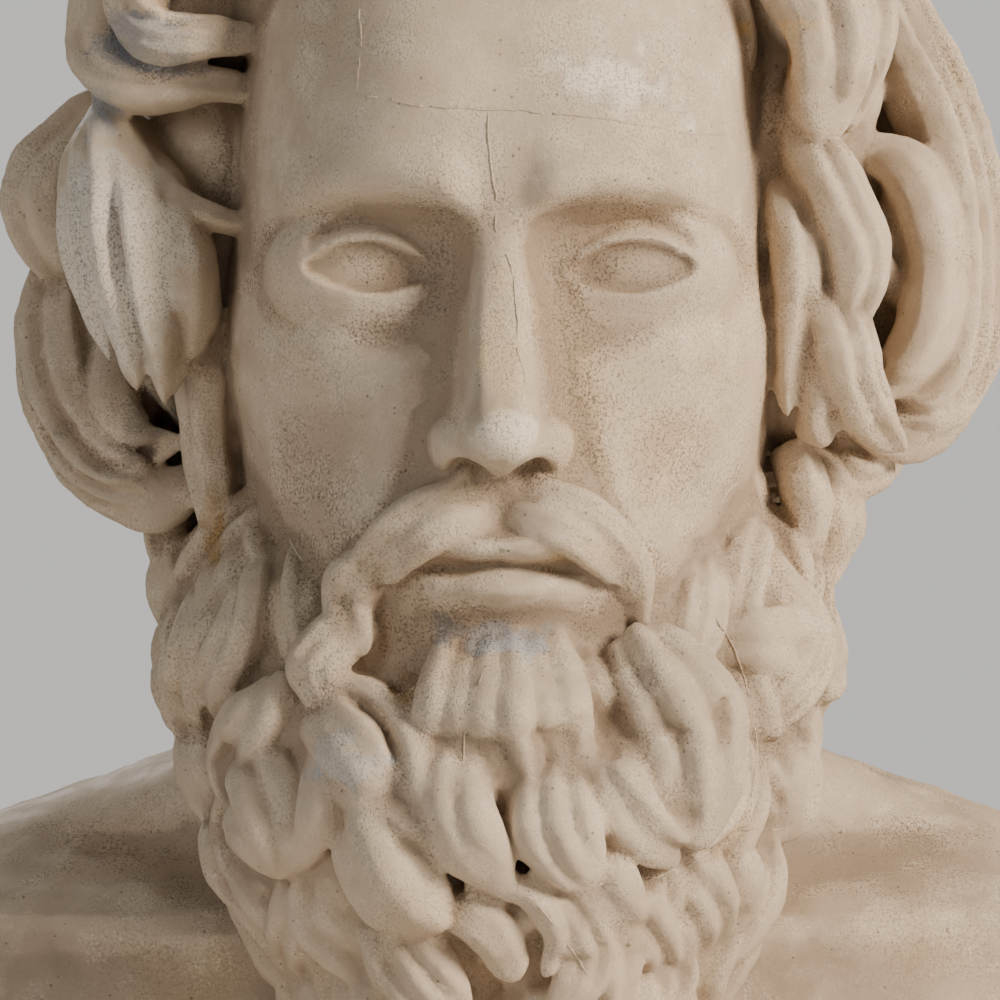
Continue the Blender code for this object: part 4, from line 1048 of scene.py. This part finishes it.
def bubble_tree():
    """Scatters flattened balls over the surface that comes in, turned to its normals."""
    group = bpy.data.node_groups.new("casting_bubbles", "GeometryNodeTree")
    names = {
        "surface": group_input(group, "Surface", "NodeSocketGeometry", None),
        "density": group_input(group, "Density", "NodeSocketFloat", 150.0),
        "least": group_input(group, "Least radius", "NodeSocketFloat", 0.0003),
        "most": group_input(group, "Greatest radius", "NodeSocketFloat", 0.0010),
        "seed": group_input(group, "Seed", "NodeSocketInt", 5),
        "material": group_input(group, "Material", "NodeSocketMaterial", None),
    }
    group.interface.new_socket("Bubbles", in_out="OUTPUT", socket_type="NodeSocketGeometry")
    source = node(group, "NodeGroupInput")
    spread = node(group, "GeometryNodeDistributePointsOnFaces", {
        "Mesh": source.outputs["Surface"], "Density": source.outputs["Density"],
        "Seed": source.outputs["Seed"],
    })
    size = node(group, "FunctionNodeRandomValue", {
        "Min": source.outputs["Least radius"], "Max": source.outputs["Greatest radius"],
        "Seed": source.outputs["Seed"],
    }, data_type="FLOAT")
    flat = node(group, "ShaderNodeCombineXYZ", {0: size.outputs["Value"], 1: size.outputs["Value"]})
    low = node(group, "ShaderNodeMath", {0: size.outputs["Value"], 1: 0.5}, operation="MULTIPLY")
    group.links.new(low.outputs[0], flat.inputs[2])
    ball = node(group, "GeometryNodeMeshIcoSphere", {"Radius": 1.0, "Subdivisions": 2})
    placed = node(group, "GeometryNodeInstanceOnPoints", {
        "Points": spread.outputs["Points"], "Instance": ball.outputs["Mesh"],
        "Rotation": spread.outputs["Rotation"], "Scale": flat.outputs[0],
    })
    real = node(group, "GeometryNodeRealizeInstances", {"Geometry": placed.outputs["Instances"]})
    coat = node(group, "GeometryNodeSetMaterial", {
        "Geometry": real.outputs["Geometry"], "Material": source.outputs["Material"],
    })
    node(group, "NodeGroupOutput", {"Bubbles": coat.outputs["Geometry"]})
    return group, names


def bubbles(bust, material):
    """The casting bubbles as a plain mesh."""
    group, names = bubble_tree()
    holder = new_object("bubble_holder", bust.data.copy(), bpy.context.scene.collection)
    scatter = holder.modifiers.new("scatter", "NODES")
    scatter.node_group = group
    scatter[names["density"]] = BUBBLES_PER_M2
    scatter[names["seed"]] = RANDOM_SEED
    scatter[names["material"]] = material
    graph = bpy.context.evaluated_depsgraph_get()
    mesh = bpy.data.meshes.new_from_object(holder.evaluated_get(graph))
    bpy.data.objects.remove(holder)
    return mesh


def join_meshes(bust, extras):
    """Puts seams and bubbles into the bust's mesh, smooth but for the cut edge of the underside."""
    bm = bmesh.new()
    bm.from_mesh(bust.data)
    for mesh in extras:
        bm.from_mesh(mesh)
    for face in bm.faces:
        face.smooth = True
        face.material_index = 0
    sharp = math.radians(50)
    for edge in bm.edges:
        flat_cut = all(abs(v.co.z) < 1e-4 for v in edge.verts)
        edge.smooth = not (flat_cut and edge.calc_face_angle(0) > sharp)
    bm.to_mesh(bust.data)
    bm.free()
    set_points(bust.data, np.clip(points_of(bust.data), *CAD_BOX))


# Shader help


def node(tree, kind, inputs=None, **settings):
    """Adds a node, sets its options, and sets or links its inputs."""
    made = tree.nodes.new(kind)
    for name, value in settings.items():
        setattr(made, name, value)
    for key, value in (inputs or {}).items():
        if isinstance(value, bpy.types.NodeSocket):
            tree.links.new(value, made.inputs[key])
        else:
            made.inputs[key].default_value = value
    return made


def texture(tree, kind, where, scale_mm, **inputs):
    """A procedural texture whose features are about scale_mm across."""
    extra = {name.capitalize(): value for name, value in inputs.items()}
    return node(tree, kind, {"Vector": where, "Scale": 1000 / scale_mm, **extra})


def clouds_of(tree, where, scale_mm, **inputs):
    return texture(tree, "ShaderNodeTexNoise", where, scale_mm, **inputs).outputs["Fac"]


def ramp(tree, value, low, high, to_low=0.0, to_high=1.0):
    """Maps a value from low..high to to_low..to_high, smoothly and clamped."""
    return node(tree, "ShaderNodeMapRange", {
        "Value": value, "From Min": low, "From Max": high, "To Min": to_low, "To Max": to_high,
    }, interpolation_type="SMOOTHSTEP").outputs["Result"]


def maths(tree, operation, *values):
    return node(tree, "ShaderNodeMath", dict(enumerate(values)), operation=operation).outputs[0]


def stray(tree, value, reach, base):
    """Adds to a base how far a texture's value is from its middle, times a reach."""
    return maths(tree, "MULTIPLY_ADD", maths(tree, "SUBTRACT", value, 0.5), reach, base)


def blend(tree, share, under, over):
    """Lays one colour over another by a share."""
    made = node(tree, "ShaderNodeMix", {"Factor": share}, data_type="RGBA")
    for index, colour in ((6, under), (7, over)):
        if isinstance(colour, bpy.types.NodeSocket):
            tree.links.new(colour, made.inputs[index])
        else:
            made.inputs[index].default_value = colour
    return made.outputs[2]


# Sizes of the plaster's pattern in millimetres: clouds a hand wide, mottling a finger wide
CLOUD_MM, YELLOWING_MM, MOTTLE_MM, GRAIN_MM, PINHOLE_MM = 90, 55, 14, 0.75, 1.5
CREAM, GREY_BEIGE, PALE_CREAM, OLD_SIZE = "#BFAB93", "#A89680", "#CBB9A1", "#C1A67F"
GRAIN_DIRT, DUST, GRIME_AND_PAINTED_SHADE, GROOVE_DIRT_AND_SHADE = "#5E5247", "#E6DCCB", "#5D4C3C", "#75624E"
RUBBED, PINHOLE = "#DFD0BA", "#4A3D32"
BODY_LEVEL, HEAD_LEVEL = 0.20, 0.27  # metres: the chest has less dirt and painted shade, up to where the beard ends
CHEST_DIRT_AND_SHADE_SHARE = 0.25  # how much of the dirt and painted shade the chest has
PLASTER_IOR = 1.52
PLASTER_SPECULAR = 0.35  # chalky, so it reflects less than its index alone says
SMOOTHEST, ROUGHEST = 0.58, 0.78


def aged_plaster():
    """Cast plaster with an old brushed coat of size: matt and slightly chalky, with pinholes full
    of dirt, brown dirt and painted shade in the hollows and grooves, rubbed pale crests, old
    stains, painted shade on the shoulders beside the beard, and whiter repairs."""
    material = bpy.data.materials.new("aged_plaster_surface")
    material.use_nodes = True
    tree = material.node_tree
    shader = tree.nodes["Principled BSDF"]
    where = node(tree, "ShaderNodeTexCoord").outputs["Object"]
    hidden = node(tree, "ShaderNodeAttribute", attribute_name="hidden").outputs["Fac"]
    proud = node(tree, "ShaderNodeAttribute", attribute_name="proud").outputs["Fac"]

    # Ground: uneven cream and greyer beige
    clouds = clouds_of(tree, where, CLOUD_MM, detail=2.0, roughness=0.6)
    mottle = clouds_of(tree, where, MOTTLE_MM, detail=4.0, roughness=0.68)
    grain = clouds_of(tree, where, GRAIN_MM, detail=1.0, roughness=0.6)
    colour = blend(tree, ramp(tree, clouds, 0.35, 0.65), linear(CREAM), linear(GREY_BEIGE))
    colour = blend(tree, ramp(tree, mottle, 0.42, 0.70, 0.0, 0.45), colour, linear(PALE_CREAM))
    yellow = clouds_of(tree, where, YELLOWING_MM, detail=2.0)
    colour = blend(tree, ramp(tree, yellow, 0.52, 0.72, 0.0, 0.40), colour, linear(OLD_SIZE))

    # Painted areas: stains, and the drier, grainy plaster of the repairs
    patches = node(tree, "ShaderNodeAttribute", attribute_name="patches")
    cover = patches.outputs["Alpha"]
    share = stray(tree, grain, 0.7, stray(tree, mottle, 1.2, cover))
    share = maths(tree, "MULTIPLY", ramp(tree, share, 0.05, 0.55), ramp(tree, cover, 0.0, 0.2))
    colour = blend(tree, share, colour, patches.outputs["Color"])

    # Stipple: dirt caught in the open grain of the plaster, in some fields more than in others
    field = maths(tree, "MULTIPLY_ADD", yellow, 1.0, mottle)
    field = ramp(tree, maths(tree, "MULTIPLY_ADD", share, 0.07, field), 0.88, 1.14, 0.25, 1.0)
    level = node(tree, "ShaderNodeSeparateXYZ", {"Vector": where}).outputs["Z"]
    above = ramp(tree, level, BODY_LEVEL, HEAD_LEVEL, CHEST_DIRT_AND_SHADE_SHARE, 1.0)
    field = maths(tree, "MULTIPLY", field, above)
    stipple = maths(tree, "MULTIPLY", ramp(tree, grain, 0.46, 0.72), field)
    colour = blend(tree, maths(tree, "MULTIPLY", stipple, 0.75), colour, linear(GRAIN_DIRT))
    dusty = ramp(tree, mottle, 0.45, 0.65)
    dust = maths(tree, "MULTIPLY", ramp(tree, grain, 0.44, 0.26, 0.0, 0.5), dusty)
    colour = blend(tree, dust, colour, linear(DUST))

    # Dirt and painted shade in the hollows and grooves, and pale rubbed crests
    # Painted shade with dirt: where the bust hides much of the sky nearby, it is darkened brown
    rough_hidden = stray(tree, mottle, 0.10, hidden)
    grime_and_shade = maths(tree, "MULTIPLY", ramp(tree, rough_hidden, 0.42, 0.95, 0.0, 0.85), above)
    colour = blend(tree, grime_and_shade, colour, linear(GRIME_AND_PAINTED_SHADE))
    # Painted shade with dirt: skin lying below its smoothed form, and one foot of each seam, is
    # darkened
    groove_dirt_and_shade = maths(tree, "MULTIPLY", ramp(tree, proud, -0.05, -0.9, 0.0, 0.5), above)
    colour = blend(tree, groove_dirt_and_shade, colour, linear(GROOVE_DIRT_AND_SHADE))
    patchy = ramp(tree, mottle, 0.3, 0.7, 0.2, 0.5)
    crest = maths(tree, "MULTIPLY", ramp(tree, proud, 0.0, 0.8), patchy)
    crest = maths(tree, "MULTIPLY", crest, above)
    colour = blend(tree, crest, colour, linear(RUBBED))

    # Pinholes and specks of dirt: most are a fifth of a millimetre, a few are three times that
    cells = texture(tree, "ShaderNodeTexVoronoi", where, PINHOLE_MM, randomness=1.0)
    chance = node(tree, "ShaderNodeSeparateColor", {"Color": cells.outputs["Color"]}).outputs
    size = maths(tree, "MULTIPLY_ADD", maths(tree, "POWER", chance["Green"], 9.0), 0.30, 0.13)
    speck = maths(tree, "SUBTRACT", 1.0, maths(tree, "DIVIDE", cells.outputs["Distance"], size))
    wanted = maths(tree, "LESS_THAN", chance["Red"], ramp(tree, clouds, 0.38, 0.62, 0.10, 0.60))
    speck = maths(tree, "MULTIPLY", ramp(tree, speck, 0.0, 0.6, 0.0, 0.62), wanted)
    colour = blend(tree, speck, colour, linear(PINHOLE))

    height = maths(tree, "MULTIPLY_ADD", mottle, 0.60, maths(tree, "MULTIPLY", stipple, -0.26))
    bump = node(tree, "ShaderNodeBump", {"Height": height, "Distance": 0.0006, "Strength": 0.8})
    tree.links.new(colour, shader.inputs["Base Color"])
    tree.links.new(bump.outputs["Normal"], shader.inputs["Normal"])
    roughness = ramp(tree, mottle, 0.3, 0.7, SMOOTHEST, ROUGHEST)
    tree.links.new(roughness, shader.inputs["Roughness"])
    shader.inputs["IOR"].default_value = PLASTER_IOR
    shader.inputs["Specular IOR Level"].default_value = PLASTER_SPECULAR
    return material


def pale_studio():
    """Smooth matt studio board."""
    material = bpy.data.materials.new("studio_board")
    material.use_nodes = True
    shader = material.node_tree.nodes["Principled BSDF"]
    shader.inputs["Base Color"].default_value = linear("#D8D5D0")
    shader.inputs["Roughness"].default_value = 0.85
    return material


# Stage: floor, light and camera

FLOOR_RADIUS = 1.9
ROOM_GLOW, BACKDROP_GLOW = 0.16, 0.95  # how bright the room is to the bust and to the camera


def make_stage():
    bm = bmesh.new()
    bmesh.ops.create_circle(bm, cap_ends=True, segments=96, radius=FLOOR_RADIUS)
    mesh = bpy.data.meshes.new("floor")
    bm.to_mesh(mesh)
    bm.free()
    mesh.materials.append(pale_studio())
    floor = new_object("floor", mesh, bpy.context.scene.collection)


def area_light(name, place, aim, size, power, tint):
    data = bpy.data.lights.new(name, "AREA")
    data.shape, data.size, data.energy, data.color = "DISK", size, power, linear(tint)[:3]
    lamp = new_object(name, data, bpy.context.scene.collection)
    lamp.location = place
    lamp.rotation_euler = (Vector(aim) - Vector(place)).to_track_quat("-Z", "Y").to_euler()


def make_light():
    """One large soft box to the viewer's right and above, a weak fill on the left, and a soft
    light behind for the other sides."""
    head = (0, -0.05, 0.36)
    area_light("key", (1.62, -1.02, 1.12), head, 0.7, 74, "#FFF0DF")
    area_light("fill", (-1.8, -1.6, 0.9), head, 1.2, 17, "#F6F3F0")
    area_light("back", (-0.8, 2.2, 1.6), head, 1.4, 34, "#FFF6EC")
    world = bpy.data.worlds.new("studio")
    bpy.context.scene.world = world
    world.use_nodes = True
    tree = world.node_tree
    seen = node(tree, "ShaderNodeLightPath").outputs["Is Camera Ray"]
    colour = blend(tree, seen, linear("#C9CCD2"), linear("#DAD8D4"))
    sky = tree.nodes["Background"].inputs
    tree.links.new(colour, sky["Color"])
    tree.links.new(ramp(tree, seen, 0.0, 1.0, ROOM_GLOW, BACKDROP_GLOW), sky["Strength"])


def make_camera():
    """Level with the mouth, 1.5 m in front of the face, and close in, as the photograph is."""
    data = bpy.data.cameras.new("camera")
    data.sensor_width = 36.0
    data.lens = data.sensor_width * VIEW_DISTANCE / HEAD_HEIGHT
    camera = new_object("camera", data, bpy.context.scene.collection)
    camera.location = EYE_POINT
    camera.rotation_euler = (math.radians(90), 0, 0)
    bpy.context.scene.camera = camera


bust = make_bust()
remember(bust.data)
plaster_surface = aged_plaster()
skin = skin_tree(bust.data)
join_meshes(bust, [seams(skin), bubbles(bust, plaster_surface)])
paint_patches(bust.data)
bust.data.materials.clear()
bust.data.materials.append(plaster_surface)
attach(bust, "root")
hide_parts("bust")
make_stage()
make_light()
make_camera()
bpy.context.scene.view_settings.view_transform = "AgX"
